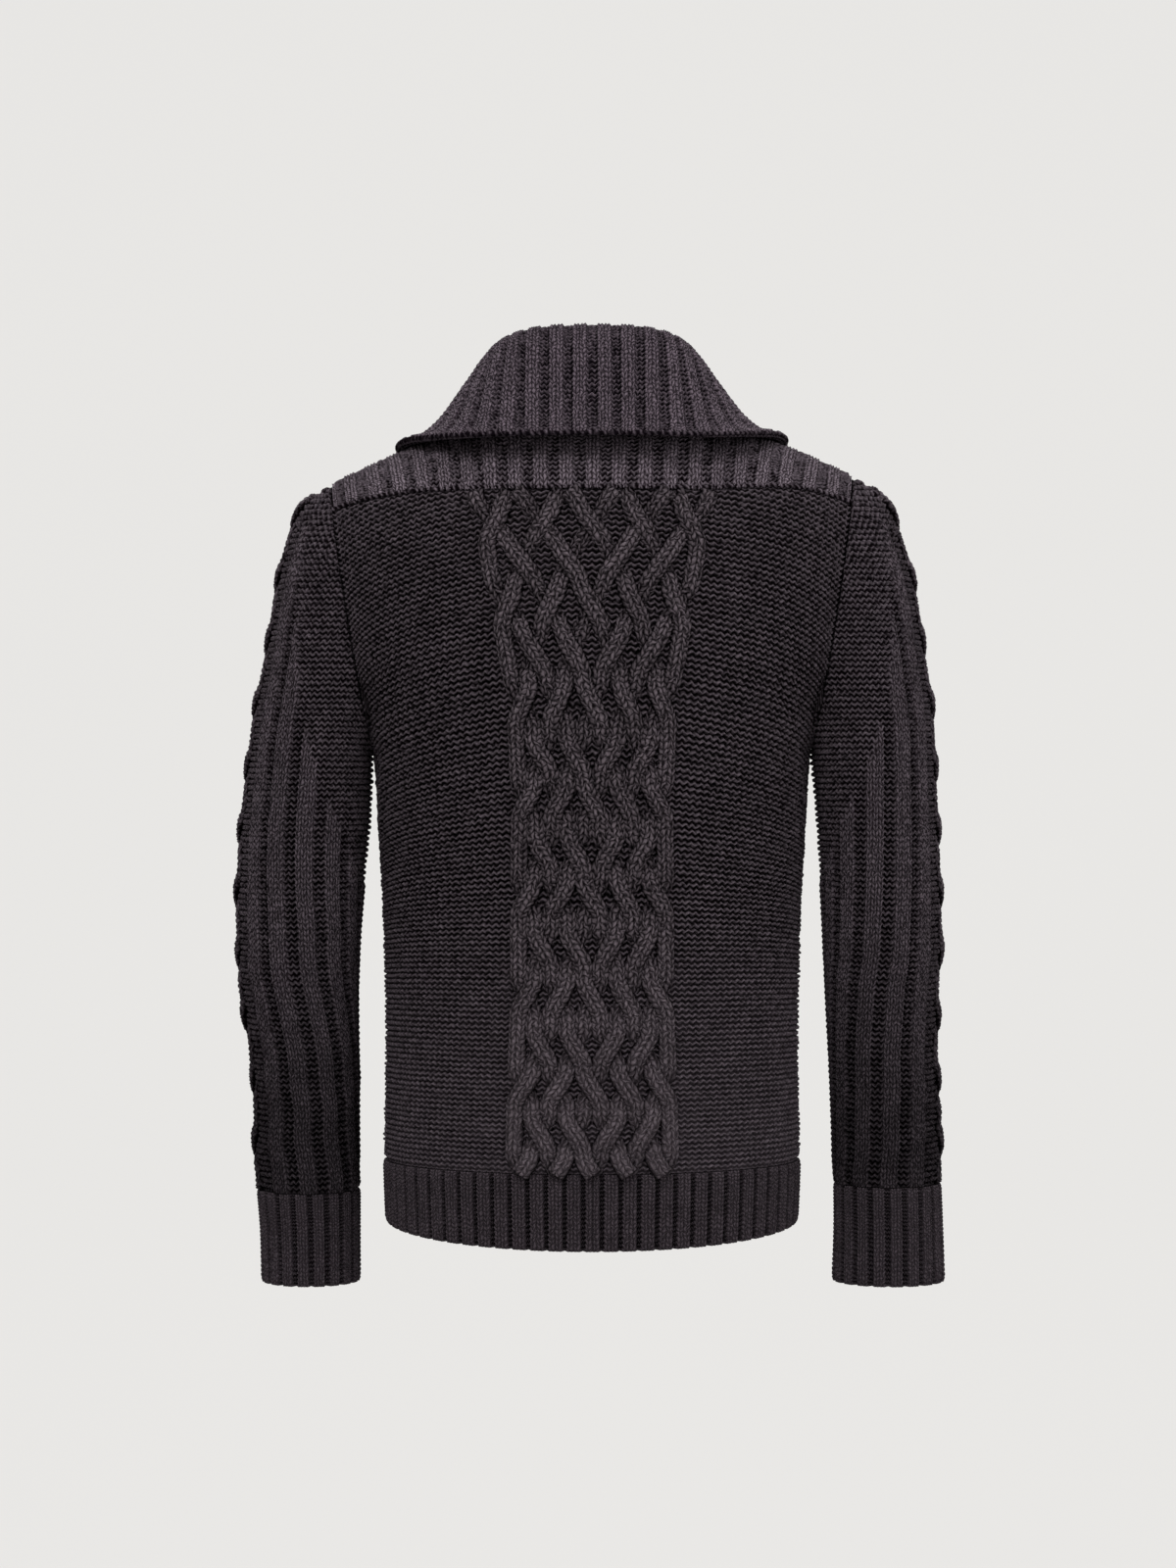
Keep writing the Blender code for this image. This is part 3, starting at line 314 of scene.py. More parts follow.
def body_table(side):
    """Half of the body at many heights, as x, y and the half girth, at even shares of its girth.

    Each section is part of an ellipse, x = end sin(a) / sin(turn), y = depth (cos a - cos turn) /
    (1 - cos turn), with points spaced evenly along it, and drawn out at its end to the armhole.
    """
    heights = np.linspace(*BODY_HEIGHTS, 316)
    shares = np.linspace(0.0, 1.0, 121)
    z, sweep = heights[:, None], np.linspace(0.0, 1.0, 241)[None, :]
    depth = smooth(TORSO["z"], TORSO["back_y" if side > 0 else "front_y"], z)
    width = smooth(TORSO["z"], TORSO["half_width"], z)
    edge_x, edge_y, _ = armhole(armhole_angle(z))
    below = z <= ARMHOLE_FOOT[1]
    end_x = np.where(below, width, edge_x)
    end_y = side * np.where(below, 0.0, edge_y)
    rise = ease((z - ARMHOLE_FOOT[1]) / (YOKE_SEAM_Z - ARMHOLE_FOOT[1]))
    turn = np.radians(90.0 - SHOULDER_TURN_DEG * rise)
    above = ease((z - ARMHOLE_FOOT[1]) / SEAM_PULL_HEIGHT)
    pull = sweep ** (SEAM_PULL_POWERS[0] + (SEAM_PULL_POWERS[1] - SEAM_PULL_POWERS[0]) * above)
    x = end_x * np.sin(sweep * turn) / np.sin(turn)
    y = depth * (np.cos(sweep * turn) - np.cos(turn)) / (1 - np.cos(turn))
    length = run_along(np.stack([x, y], axis=-1))
    even = np.array([np.interp(shares * run[-1], run, range(len(run))) for run in length])
    rows = np.arange(len(heights))[:, None]
    x, y = between(x, rows, even), between(y + end_y * pull, rows, even)
    return {"z": heights, "share": shares, "x": x, "y": y, "girth": length[:, -1]}


BODY = {1: body_table(1), -1: body_table(-1)}


def body_point(z, share, side):
    """Points of the body at heights z and signed shares of its half girth."""
    z, share = np.broadcast_arrays(np.asarray(z, float), np.asarray(share, float))
    here = BODY[side]
    row = (z - here["z"][0]) / (here["z"][1] - here["z"][0])
    column = np.abs(share) * (len(here["share"]) - 1)
    x = between(here["x"], row, column) * np.where(share < 0, -1, 1)
    return np.stack([x, between(here["y"], row, column), z], axis=-1)


def half_girth(z, side):
    """Length of cloth from the middle to the side seam or armhole."""
    return np.interp(z, BODY[side]["z"], BODY[side]["girth"])


def lift_shoulder(points):
    """The wearer's right shoulder sits a little higher, and all that lies there moves with it."""
    outwards = ease((-points[..., 0] - SHOULDER_LIFT_FROM) / SHOULDER_LIFT_WIDTH)
    upwards = ease((points[..., 2] - ARMHOLE_FOOT[1]) / (ARMHOLE_TOP[1] - ARMHOLE_FOOT[1]))
    return points + np.stack([0 * outwards, 0 * outwards, SHOULDER_LIFT * outwards * upwards], -1)


def grid_form(points, normal, closed=False):
    """A grid of points and normals as a function of the shares across and along it."""

    def at(u, v):
        """Point and unit normal at shares u across and v along."""
        u, v = np.broadcast_arrays(u, v)
        column = (u % 1.0 if closed else u) * (points.shape[1] - 1)
        row = v * (points.shape[0] - 1)
        return between(points, row, column), unit(between(normal, row, column))

    return at


def cloth_form(points, away_from, closed=False):
    """The plain form of a piece of cloth, as a function from shares across and along to its points
    and normals. The grid given has a row for each step along and a column for each step across; a
    closed one has its first column again at its end.
    """
    points = lift_shoulder(points)
    across, along = np.gradient(points, axis=1), np.gradient(points, axis=0)
    if closed:
        across[:, 0] = across[:, -1] = (points[:, 1] - points[:, -2]) / 2
    normal = unit(np.cross(across, along))
    normal *= np.sign(np.sum(normal * (points - away_from), axis=2, keepdims=True))
    return grid_form(points, normal, closed)


def stitch_columns(kinds, widths=(1.0, 1.0), closed=False):
    """The sample columns of a row of stitches, as arrays: place across in mean stitches, number of
    the stitch plus the share across it, and whether it is knit.

    P is a purl stitch, two columns whose lines zigzag. K is a knit stitch, four columns that make
    the two legs of a V between grooves. widths are those of a knit and a purl stitch.
    """
    place, number, knit, start = [], [], [], 0.0
    for count, kind in enumerate(kinds):
        steps, width = ((0.0, 0.25, 0.5, 0.75), widths[0]) if kind == "K" else ((0.0, 0.5), widths[1])
        place += [start + t * width for t in steps]
        number += [count + t for t in steps]
        knit += [float(kind == "K")] * len(steps)
        start += width
    if not closed:
        place, number, knit = place + [start], number + [float(len(kinds))], knit + [knit[-1]]
    return {"place": np.array(place), "number": np.array(number), "knit": np.array(knit), "round": start}


def strip_faces(first, second, closed=False):
    """Triangles between two edges with their own numbers of points, spread evenly along both."""
    if closed:
        first, second = np.append(first, first[0]), np.append(second, second[0])
    steps_a, steps_b = len(first) - 1, len(second) - 1
    faces, i, j = [], 0, 0
    while i < steps_a or j < steps_b:
        ahead_a = (i + 0.5) / steps_a if i < steps_a else 2.0
        ahead_b = (j + 0.5) / steps_b if j < steps_b else 2.0
        if ahead_a <= ahead_b:
            faces.append((int(first[i]), int(first[i + 1]), int(second[j])))
            i += 1
        else:
            faces.append((int(first[i]), int(second[j + 1]), int(second[j])))
            j += 1
    return faces


def grid_faces(ids, closed=False):
    """Quads between the rows of a grid of point numbers."""
    if closed:
        ids = np.concatenate([ids, ids[:, :1]], axis=1)
    corners = (ids[:-1, :-1], ids[:-1, 1:], ids[1:, 1:], ids[1:, :-1])
    return np.stack(corners, axis=-1).reshape(-1, 4).tolist()


def mend_seams(piece, distance=0.00005):
    """Merge points that lie together, and drop the faces that this closes."""
    body = bmesh.new()
    body.from_mesh(piece.data)
    bmesh.ops.remove_doubles(body, verts=body.verts, dist=distance)
    bmesh.ops.dissolve_degenerate(body, edges=body.edges, dist=0.00001)
    body.to_mesh(piece.data)
    body.free()


def finish_cloth(piece, depth, knit, stitches):
    """Turn the faces outwards and store depth, knit share and place in the stitches as attributes."""
    body = bmesh.new()
    body.from_mesh(piece.data)
    bmesh.ops.recalc_face_normals(body, faces=body.faces)
    body.to_mesh(piece.data)
    body.free()
    mesh = piece.data
    for name, values in (("depth", depth), ("knit", knit)):
        attribute = mesh.attributes.new(name, "FLOAT", "POINT")
        attribute.data.foreach_set("value", np.asarray(values, np.float32))
    corners = np.empty(len(mesh.loops), np.int64)
    mesh.loops.foreach_get("vertex_index", corners)
    uv = mesh.uv_layers.new(name="stitches")
    uv.data.foreach_set("uv", np.asarray(stitches, np.float32)[corners].ravel())
    return piece


def knit_wall(name, form, columns, rows, per_row, material, lining, closed=False, wall=WALL,
              rise=0.0, up=1, grown=None, moved=None, ended=None, purl_depth=0.75):
    """A closed wall of knitted cloth: stitched outside, plain inside.

    Row lines: v = (row + up shift cos(2 pi t)) / rows, t being the share across a stitch. Height:
    knit (rise + leg) + swing cos(2 pi row phase), with a small uneven tension in each stitch. rise
    is how far knit stitches stand out, up is 1 where rows count upwards and -1 where they count
    downwards, grown(u, v) is the share of knit structure, and moved(u, v) is where a row really
    lies; rows that it puts beyond an edge end there. ended(u, v) is true where a column has ended.
    The purl gutters are shaded as deep as purl_depth, 1 being no depth.
    """
    rng = np.random.default_rng(TENSION_SEED)
    count = columns["round"]
    u = columns["place"][None, :] / count
    share = np.mod(columns["number"], 1.0)[None, :]
    phase = (np.arange(rows * per_row + 1) / per_row)[:, None]
    inside = ease(np.minimum(phase, rows - phase) / EDGE_ROWS)
    ribbed = np.ones((len(phase), u.size)) if grown is None else grown(u, phase / rows)
    knit = columns["knit"][None, :] * ribbed
    zigzag = np.cos(2 * math.pi * share)
    over = np.zeros(knit.shape, bool) if ended is None else ended(u, phase / rows)
    shift = up * zigzag * (PURL_ZIGZAG * (1 - knit) + KNIT_SLANT * knit) * inside * ~over
    v = (phase + shift) / rows
    v = np.clip(v if moved is None else moved(u, v), 0.0, 1.0)
    point, normal = form(np.broadcast_to(u, v.shape), v)
    edge = ease(np.minimum(v, 1 - v) * rows)
    stitch = columns["number"].astype(int)
    pulls = rng.standard_normal((rows + 1, stitch.max() + 1))
    tension = 1 + UNEVEN_TENSION * pulls[np.minimum(phase[:, 0].astype(int), rows)][:, stitch]
    wave = np.cos(2 * math.pi * phase) * tension
    leg = np.interp(share, np.linspace(0.0, 1.0, len(LEG_HEIGHTS)), LEG_HEIGHTS)
    height = wave * (PURL_SWING * (1 - knit) - KNIT_SWING * knit)
    height = knit * (rise + leg) + height * edge - EDGE_DROP * (1 - edge)
    height = np.where(over, -EDGE_DROP, height)
    outer = point + normal * height[..., None]
    across = np.arange(lining[0]) / lining[0] if closed else np.linspace(0, 1, lining[0] + 1)
    a, b = np.meshgrid(across, np.linspace(0, 1, lining[1] + 1))
    inner_point, inner_normal = form(a, b)
    inner = inner_point - inner_normal * wall
    skin = np.arange(outer[..., 0].size).reshape(outer.shape[:2])
    back = skin.size + np.arange(inner[..., 0].size).reshape(inner.shape[:2])
    faces = grid_faces(skin, closed) + grid_faces(back, closed)
    faces += strip_faces(skin[0], back[0], closed) + strip_faces(skin[-1], back[-1], closed)
    if not closed:
        faces += strip_faces(skin[:, 0], back[:, 0]) + strip_faces(skin[:, -1], back[:, -1])
    points = np.concatenate([outer.reshape(-1, 3), inner.reshape(-1, 3)])
    piece = mesh_piece(name, points, faces, material)
    # depth is painted shade: lower in the purl gutters, down to purl_depth, in the troughs of the rows and
    # in the grooves of the knit legs; the lining gets LINING_DEPTH.
    floor = PLAIN_DEPTH + (purl_depth - PLAIN_DEPTH) * ribbed
    depth = floor + (1 - floor) * knit + 0.20 * wave * (1 - knit) + 150 * leg * knit
    depth = np.concatenate([depth.ravel(), np.full(back.size, LINING_DEPTH)])
    knit_share = np.concatenate([knit.ravel(), np.zeros(back.size)])
    line = np.broadcast_to(up * (phase + shift), height.shape)
    stitched = np.stack([np.broadcast_to(columns["number"][None, :], height.shape), line], axis=-1)
    plain = np.stack([a * (stitch.max() + 1), up * b * rows], axis=-1)
    places = np.concatenate([stitched.reshape(-1, 2), plain.reshape(-1, 2)])
    return finish_cloth(piece, depth, knit_share, places)


def add_sums(tree, known, sums):
    """Work out values for a material: each sum is the name of its result, a Math operation, and what
    it takes, which are numbers, or names of sockets that are known or come from the sums before it.
    """
    for name, operation, *taken in sums:
        inputs = {place: known.get(value, value) for place, value in enumerate(taken)}
        known[name] = add_node(tree, "ShaderNodeMath", {"operation": operation}, inputs).outputs[0]


LOOP_PULL = 0.9
LOOP_PULL_SCALE = 210.0


def stitch_relief(tree, place):
    """Height of the loops from 0 to 1 at a place in the stitches (u across, v up the rows), which a
    noise of about 5 mm pulls out of line by up to a third of a stitch.

    Knit: legs of a V, (1 - |2 fract(v - 0.9 s) - 1|^1.7) (1 - |2 fract(2u) - 1|^2.2), s = |2 fract(u) - 1|.
    Purl: wavy bars, |2 fract(v - 0.21 cos(2 pi u)) - 1|^1.9.
    """
    stitches = add_node(tree, "ShaderNodeUVMap", {"uv_map": "stitches"})
    uneven = add_node(tree, "ShaderNodeTexNoise", {"Scale": LOOP_PULL_SCALE, "Detail": 1.0},
                      {"Vector": place})
    pulled = add_node(tree, "ShaderNodeVectorMath",
                      {"operation": "MULTIPLY_ADD", 1: (LOOP_PULL, LOOP_PULL, 0.0)},
                      {0: uneven.outputs["Color"], 2: stitches.outputs["UV"]})
    centred = add_node(tree, "ShaderNodeVectorMath",
                       {"operation": "SUBTRACT", 1: (LOOP_PULL / 2, LOOP_PULL / 2, 0.0)},
                       {0: pulled.outputs["Vector"]})
    parts = add_node(tree, "ShaderNodeSeparateXYZ", {}, {0: centred.outputs["Vector"]})
    known = {"u": parts.outputs["X"], "v": parts.outputs["Y"]}
    add_sums(tree, known, (
        ("across", "FRACT", "u"),
        ("from_centre", "MULTIPLY_ADD", "across", 2.0, -1.0),
        ("away", "ABSOLUTE", "from_centre"),
        ("slanted", "MULTIPLY_ADD", "away", -0.9, "v"),
        ("row", "FRACT", "slanted"),
        ("from_crest", "MULTIPLY_ADD", "row", 2.0, -1.0),
        ("row_side", "ABSOLUTE", "from_crest"),
        ("row_fall", "POWER", "row_side", 1.7),
        ("crest", "SUBTRACT", 1.0, "row_fall"),
        ("legs", "MULTIPLY", "u", 2.0),
        ("leg", "FRACT", "legs"),
        ("from_leg", "MULTIPLY_ADD", "leg", 2.0, -1.0),
        ("leg_side", "ABSOLUTE", "from_leg"),
        ("leg_fall", "POWER", "leg_side", 2.2),
        ("width", "SUBTRACT", 1.0, "leg_fall"),
        ("knit", "MULTIPLY", "crest", "width"),
        ("turn", "MULTIPLY", "u", 2 * math.pi),
        ("wave", "COSINE", "turn"),
        ("waved", "MULTIPLY_ADD", "wave", -PURL_ZIGZAG, "v"),
        ("bar", "FRACT", "waved"),
        ("from_bar", "MULTIPLY_ADD", "bar", 2.0, -1.0),
        ("bar_side", "ABSOLUTE", "from_bar"),
        ("purl", "POWER", "bar_side", 1.9),
    ))
    share = add_node(tree, "ShaderNodeAttribute", {"attribute_name": "knit"})
    mixed = add_node(tree, "ShaderNodeMix", {"data_type": "FLOAT"},
                     {0: share.outputs["Fac"], 2: known["purl"], 3: known["knit"]})
    return mixed.outputs[0]


RIB_DRAWN_IN = 1.15


def cut_size(*forms, drawn_in=1.0):
    """Width, length and area of a flat cut: its longest row and column, and the sum of its quads. A
    rib draws in, and pulled flat it is drawn_in times as wide.
    """
    u, v = np.linspace(0, 1, 61)[None, :], np.linspace(0, 1, 61)[:, None]
    width = length = area = 0.0
    for form in forms:
        point = form(u, v)[0]
        across, along = np.diff(point, axis=1), np.diff(point, axis=0)
        width += np.linalg.norm(across, axis=2).sum(axis=1).max()
        length = max(length, np.linalg.norm(along, axis=2).sum(axis=0).max())
        area += np.linalg.norm(np.cross(across[:-1], along[:, :-1]), axis=2).sum()
    return float(width) * drawn_in, float(length), float(min(area, width * length)) * drawn_in


# Between these heights the colour darkens by low_gain, painted shade for light that falls off downwards,
# and the painted shade between loops is weakened by low_calm.
LOW_RAMP_FROM_Z = -0.38
LOW_RAMP_TO_Z = -0.56
FIBRE_HEX = "#b3a8b1"
CALMED_LOOP_TONE = 0.72
LOOP_SHADE = 0.84


def yarn_material(name, crest_hex, groove_shade_hex, mottle=0.22, low_gain=1.0, low_calm=0.35):
    """Matt dyed cotton yarn, plied and slightly hairy, its tone uneven from stitch to stitch. The
    grooves between loops get painted shade: the colour runs from the groove colour in them to the
    crest colour on the crests. Loops are drawn in the piece's own stitches; patches are about 20 mm
    across, flecks 3 mm and fibres 1 mm. Low down the painted shade between the loops is weakened by
    low_calm, and the colour there is low_gain times as bright: painted shade for light that falls off
    downwards.
    """
    material, tree, shader = new_material(name, {
        "Roughness": 0.86, "IOR": 1.5, "Sheen Roughness": 0.5, "Sheen Tint": linear(FIBRE_HEX),
    })
    place = add_node(tree, "ShaderNodeTexCoord").outputs["Object"]
    depth = add_node(tree, "ShaderNodeAttribute", {"attribute_name": "depth"})
    height = add_node(tree, "ShaderNodeSeparateXYZ", {}, {0: place}).outputs["Z"]
    # A ramp down the garment that carries the painted shade low down.
    height_ramp = add_node(tree, "ShaderNodeMapRange", {"From Min": LOW_RAMP_FROM_Z, "From Max": LOW_RAMP_TO_Z},
                    {"Value": height})
    patches, flecks, fibres = (
        add_node(tree, "ShaderNodeTexNoise", {"Scale": scale, "Detail": detail, "Roughness": rough},
                 {"Vector": place}).outputs["Fac"]
        for scale, detail, rough in ((50.0, 3.0, 0.6), (330.0, 2.0, 0.7), (1100.0, 3.0, 0.75))
    )
    known = {"loops": stitch_relief(tree, place), "depth": depth.outputs["Fac"],
             "height_ramp": height_ramp.outputs["Result"], "patches": patches, "flecks": flecks}
    add_sums(tree, known, (
        ("loop_calming", "MULTIPLY", "height_ramp", low_calm),
        ("uneven", "MULTIPLY_ADD", "flecks", 1.3, "patches"),
        ("low_shade", "MULTIPLY_ADD", "height_ramp", low_gain - 1.0, 1.0),
    ))
    calmed_loops = add_node(tree, "ShaderNodeMix", {"data_type": "FLOAT", 3: CALMED_LOOP_TONE},
                       {0: known["loop_calming"], 2: known["loops"]})
    known["calmed_loops"] = calmed_loops.outputs[0]
    # Painted shade: the loop pattern and the depth attribute darken the grooves between loops.
    add_sums(tree, known, (
        ("loop_share", "MULTIPLY_ADD", "calmed_loops", LOOP_SHADE, 1 - LOOP_SHADE),
        ("groove_shade", "MULTIPLY", "depth", "loop_share"),
    ))
    tone = add_node(tree, "ShaderNodeMapRange", {"From Min": 0.12, "From Max": 0.92},
                    {"Value": known["groove_shade"]})
    gain = add_node(tree, "ShaderNodeMapRange", {"From Min": 0.80, "From Max": 1.50,
                                                 "To Min": 1.0 - mottle, "To Max": 1.0 + mottle},
                    {"Value": known["uneven"]})
    known.update(tone=tone.outputs["Result"], gain=gain.outputs["Result"])
    # Specular and sheen are dimmed by the same painted groove shade.
    add_sums(tree, known, (
        ("shine", "MULTIPLY", "tone", 0.10),
        ("sheen", "MULTIPLY", "tone", 0.05),
        ("brightness", "MULTIPLY", "gain", "low_shade"),
    ))
    tree.links.new(known["shine"], shader.inputs["Specular IOR Level"])
    tree.links.new(known["sheen"], shader.inputs["Sheen Weight"])
    # Colour runs from the groove colour, which is painted shade, to the crest colour.
    base = add_node(tree, "ShaderNodeMix", {"data_type": "RGBA", 6: linear(groove_shade_hex),
                                            7: linear(crest_hex)}, {0: known["tone"]})
    dyed = add_node(tree, "ShaderNodeVectorMath", {"operation": "SCALE"},
                    {0: base.outputs[2], "Scale": known["brightness"]})
    tree.links.new(dyed.outputs["Vector"], shader.inputs["Base Color"])
    grain = add_node(tree, "ShaderNodeBump", {"Strength": 0.6, "Distance": 0.0006}, {"Height": fibres})
    relief = add_node(tree, "ShaderNodeBump", {"Strength": 0.9, "Distance": 0.0011},
                      {"Height": known["loops"], "Normal": grain.outputs["Normal"]})
    tree.links.new(relief.outputs["Normal"], shader.inputs["Normal"])
    return material


def creased(form, folds):
    """A form with the soft folds of a table, a row for each. A fold stands out by
    height exp(-(a / half length)^2 - (b / half width)^2), a and b being the shares u and v from its
    middle, turned by turn degrees.
    """

    def at(u, v):
        """Point moved along its normal by all the folds, and the normal."""
        point, normal = form(u, v)
        out = np.zeros(point.shape[:-1])
        for fold_u, fold_v, turn, half_length, half_width, height in zip(*folds.values()):
            c, s = math.cos(math.radians(turn)), math.sin(math.radians(turn))
            a, b = c * (u - fold_u) + s * (v - fold_v), c * (v - fold_v) - s * (u - fold_u)
            out = out + height * np.exp(-((a / half_length) ** 2) - (b / half_width) ** 2)
        return point + normal * out[..., None], normal

    return at


def scalloped(columns, rows):
    """Where rows lie near a free edge: purl stitches end 0.4 of a row short of the knit ones."""

    def moved(u, v):
        """v less 0.4 rows times the purl share, over the last two rows."""
        purl = 1 - np.interp(u * columns["round"], columns["place"], columns["knit"])
        return v - 0.4 / rows * purl * ease((v - 1) * rows / 2 + 1)

    return moved


def yoke_seam_z(share):
    """The yoke seam falls a little towards the shoulders."""
    return YOKE_SEAM_Z - YOKE_SEAM_FALL * np.clip(np.abs(share) * 2 - 1, 0.0, 1.0) ** 2


def panel_grid(side, top):
    """Plain form of a panel from the hem seam to a top line, with rows spread evenly between."""
    share = np.linspace(-1.0, 1.0, 161)[None, :]
    rise = np.linspace(0.0, 1.0, 161)[:, None]
    return body_point(HEM_SEAM_Z + rise * (top(share) - HEM_SEAM_Z), share, side)


FOLD_COLUMNS = "u v turn half_length half_width height"
BACK_FOLDS = table(
    FOLD_COLUMNS,
    [
        (0.07, 0.56, 62.0, 0.09, 0.016, 0.0016),
        (0.12, 0.50, 48.0, 0.10, 0.020, -0.0014),
        (0.93, 0.57, -60.0, 0.09, 0.016, 0.0016),
        (0.88, 0.49, -46.0, 0.10, 0.020, -0.0014),
        (0.14, 0.16, 78.0, 0.10, 0.022, 0.0012),
        (0.85, 0.13, -80.0, 0.10, 0.024, 0.0012),
    ],
)
ROW_ARCH = 0.088
ARCH_FROM = 0.22
ARCH_OVER = 0.50
ROW_HEIGHTS = (0.0040, 0.0042, 0.0046, 0.0049, 0.0049, 0.0046, 0.0044)


def arched(u, v):
    """Where the rows of the back lie: they are lower near the hem, and above the waist they bend
    down towards the sides, because the cable in the middle takes up length.

    The place p of a row is where the count of rows below it, the sum of 1 / height, reaches the
    share v of all; then p falls by ROW_ARCH |2u - 1|^1.3 times a smooth step up from the waist. Rows
    that the yoke seam cuts off lie beyond 1.
    """
    place = np.linspace(0.0, 1.0 + ROW_ARCH, 241)
    height = smooth(np.linspace(0.0, 1.0, len(ROW_HEIGHTS)), ROW_HEIGHTS, place)
    count = np.append(0.0, np.cumsum(0.5 / height[1:] + 0.5 / height[:-1]))
    at = np.interp(v, count / count[-1], place)
    return at - ROW_ARCH * ease((at - ARCH_FROM) / ARCH_OVER) * np.abs(2 * u - 1) ** 1.3


# Purl side out: crests of loops, paler than the grooves between them, which get nearly black painted shade.
back_yarn = yarn_material("dyed_cotton_purl_back", "#50484e", "#030202")
back_form = creased(cloth_form(panel_grid(1, yoke_seam_z), BODY_MIDDLE), BACK_FOLDS)
back_columns = stitch_columns("P" * BACK_STITCHES)
back_panel = knit_wall("back_panel_knit", back_form, back_columns, BACK_ROWS, 4, back_yarn, (20, 26),
                       moved=arched, purl_depth=0.85)
mend_seams(back_panel)
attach(back_panel, "root")
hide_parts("back_panel")

# ---------------------------------------------------------------------------------------------
# Plaited cable: ten strands, each two knit stitches wide, cabled across one another up the middle of
# the back as it is knitted. They stand proud of the purl ground and cross in rows that alternate.

STRANDS = 10
STRAND_HALF_WIDTH = 0.0076
STRAND_HEIGHT = 0.0056
STRAND_ROW = 0.0052
OVER_LIFT = 0.0026
UNDER_DROP = 0.0022
STRAND_BASE = 0.0016
STRAND_BASE_DEEPEST = 0.0029
STRAND_SWELL = 0.0007

LATTICE = table(
    "z spacing pairs span",
    [
        (-0.0600, 0.0415, 1, 0.62),
        (-0.0905, 0.0378, 0, 0.62),
        (-0.1195, 0.0356, 1, 0.62),
        (-0.1540, 0.0325, 0, 0.58),
        (-0.1885, 0.0294, 1, 0.54),
        (-0.2280, 0.0263, 0, 0.48),
        (-0.2675, 0.0255, 1, 0.44),
        (-0.3030, 0.0248, 0, 0.44),
        (-0.3415, 0.0249, 1, 0.42),
        (-0.3770, 0.0251, 0, 0.42),
        (-0.4155, 0.0251, 1, 0.42),
        (-0.4530, 0.0252, 0, 0.42),
        (-0.4910, 0.0257, 1, 0.44),
        (-0.5215, 0.0262, 0, 0.46),
        (-0.5555, 0.0266, 1, 0.48),
        (-0.5850, 0.0270, 0, 0.48),
    ],
)


def strand_paths(z):
    """Slots of the strands at heights z, and how far each lies over (1) or under (-1) another.

    A strand keeps its slot between crossings and moves over by one at each, along a smooth step.
    """
    slots = np.repeat(np.arange(STRANDS, dtype=float)[:, None], len(z), axis=1)
    level = np.zeros_like(slots)
    holder = list(range(STRANDS))
    gaps = np.abs(np.gradient(LATTICE["z"]))
    for centre, first, gap, span in zip(LATTICE["z"], LATTICE["pairs"], gaps, LATTICE["span"]):
        moved = ease((centre - z) / (gap * span * 2) + 0.5)
        near = ease(1.25 - np.abs(z - centre) / (gap * span))
        for slot in range(int(first), STRANDS - 1, 2):
            left, right = holder[slot], holder[slot + 1]
            slots[left] += moved
            slots[right] -= moved
            left_half = slot >= STRANDS / 2
            over, under = (left, right) if left_half == (first == 0) else (right, left)
            level[over] = np.where(near > 0, np.maximum(level[over], near), level[over])
            level[under] = np.where(near > 0, np.minimum(level[under], -near), level[under])
            holder[slot], holder[slot + 1] = right, left
    return slots, level


def strand_mesh(centre, side, normal, level, half_width, height, material):
    """A closed ribbon of two knit stitches along a line of points.

    Across, a flattened dome, height (1 - |a|^2.4)^0.55, with a groove between the stitches and a
    shallower one down each. Along, each row swells: -0.0007 cos(2 pi (row - 0.9 s)), s = |2 fract(a) - 1|.
    """
    a = np.linspace(-1.0, 1.0, 13)
    dome = height * (1 - np.abs(a) ** 2.4) ** 0.55
    for place, groove in ((0.0, 0.0016), (0.5, 0.0008), (-0.5, 0.0008)):
        dome = dome - groove * np.exp(-(((a - place) / 0.10) ** 2))
    rows = run_along(centre) / STRAND_ROW
    away = np.abs(2 * np.mod(a, 1.0) - 1)
    swell = -STRAND_SWELL * np.cos(2 * np.pi * (rows[:, None] - 0.9 * away[None, :])) * (1 - a**8)[None, :]
    lift = np.where(level > 0, level * OVER_LIFT, level * UNDER_DROP)
    top = (
        centre[:, None]
        + side[:, None] * (a[None, :, None] * half_width)
        + normal[:, None] * (dome[None, :] + swell + lift[:, None])[..., None]
    )
    sunk = np.maximum(np.minimum(lift, 0) - STRAND_BASE, -STRAND_BASE_DEEPEST)
    under = centre + normal * sunk[:, None]
    base = np.stack([under + side * half_width * 0.92, under - side * half_width * 0.92], axis=1)
    ring = np.concatenate([top, base], axis=1)
    ids = np.arange(ring[..., 0].size).reshape(ring.shape[:2])
    faces = grid_faces(ids, closed=True)
    faces += [ids[0].tolist(), ids[-1][::-1].tolist()]
    piece = mesh_piece("strand", ring.reshape(-1, 3), faces, material)
    # Painted shade: darker on the flanks of the dome, a painted shadow where the strand runs under another,
    # and a dark base.
    groove_shade = np.clip(0.25 + 0.75 * dome / height, 0, 1)[None, :] - 0.30 * np.clip(-level, 0, 1)[:, None]
    depth = np.concatenate([groove_shade, np.full((len(centre), 2), 0.1)], axis=1)
    knit = np.ones(depth.size)
    across = np.concatenate([a, [1.0, -1.0]])
    place = np.stack(np.broadcast_arrays(across[None, :], rows[:, None]), axis=-1)
    return finish_cloth(piece, depth.ravel(), knit, place.reshape(-1, 2))


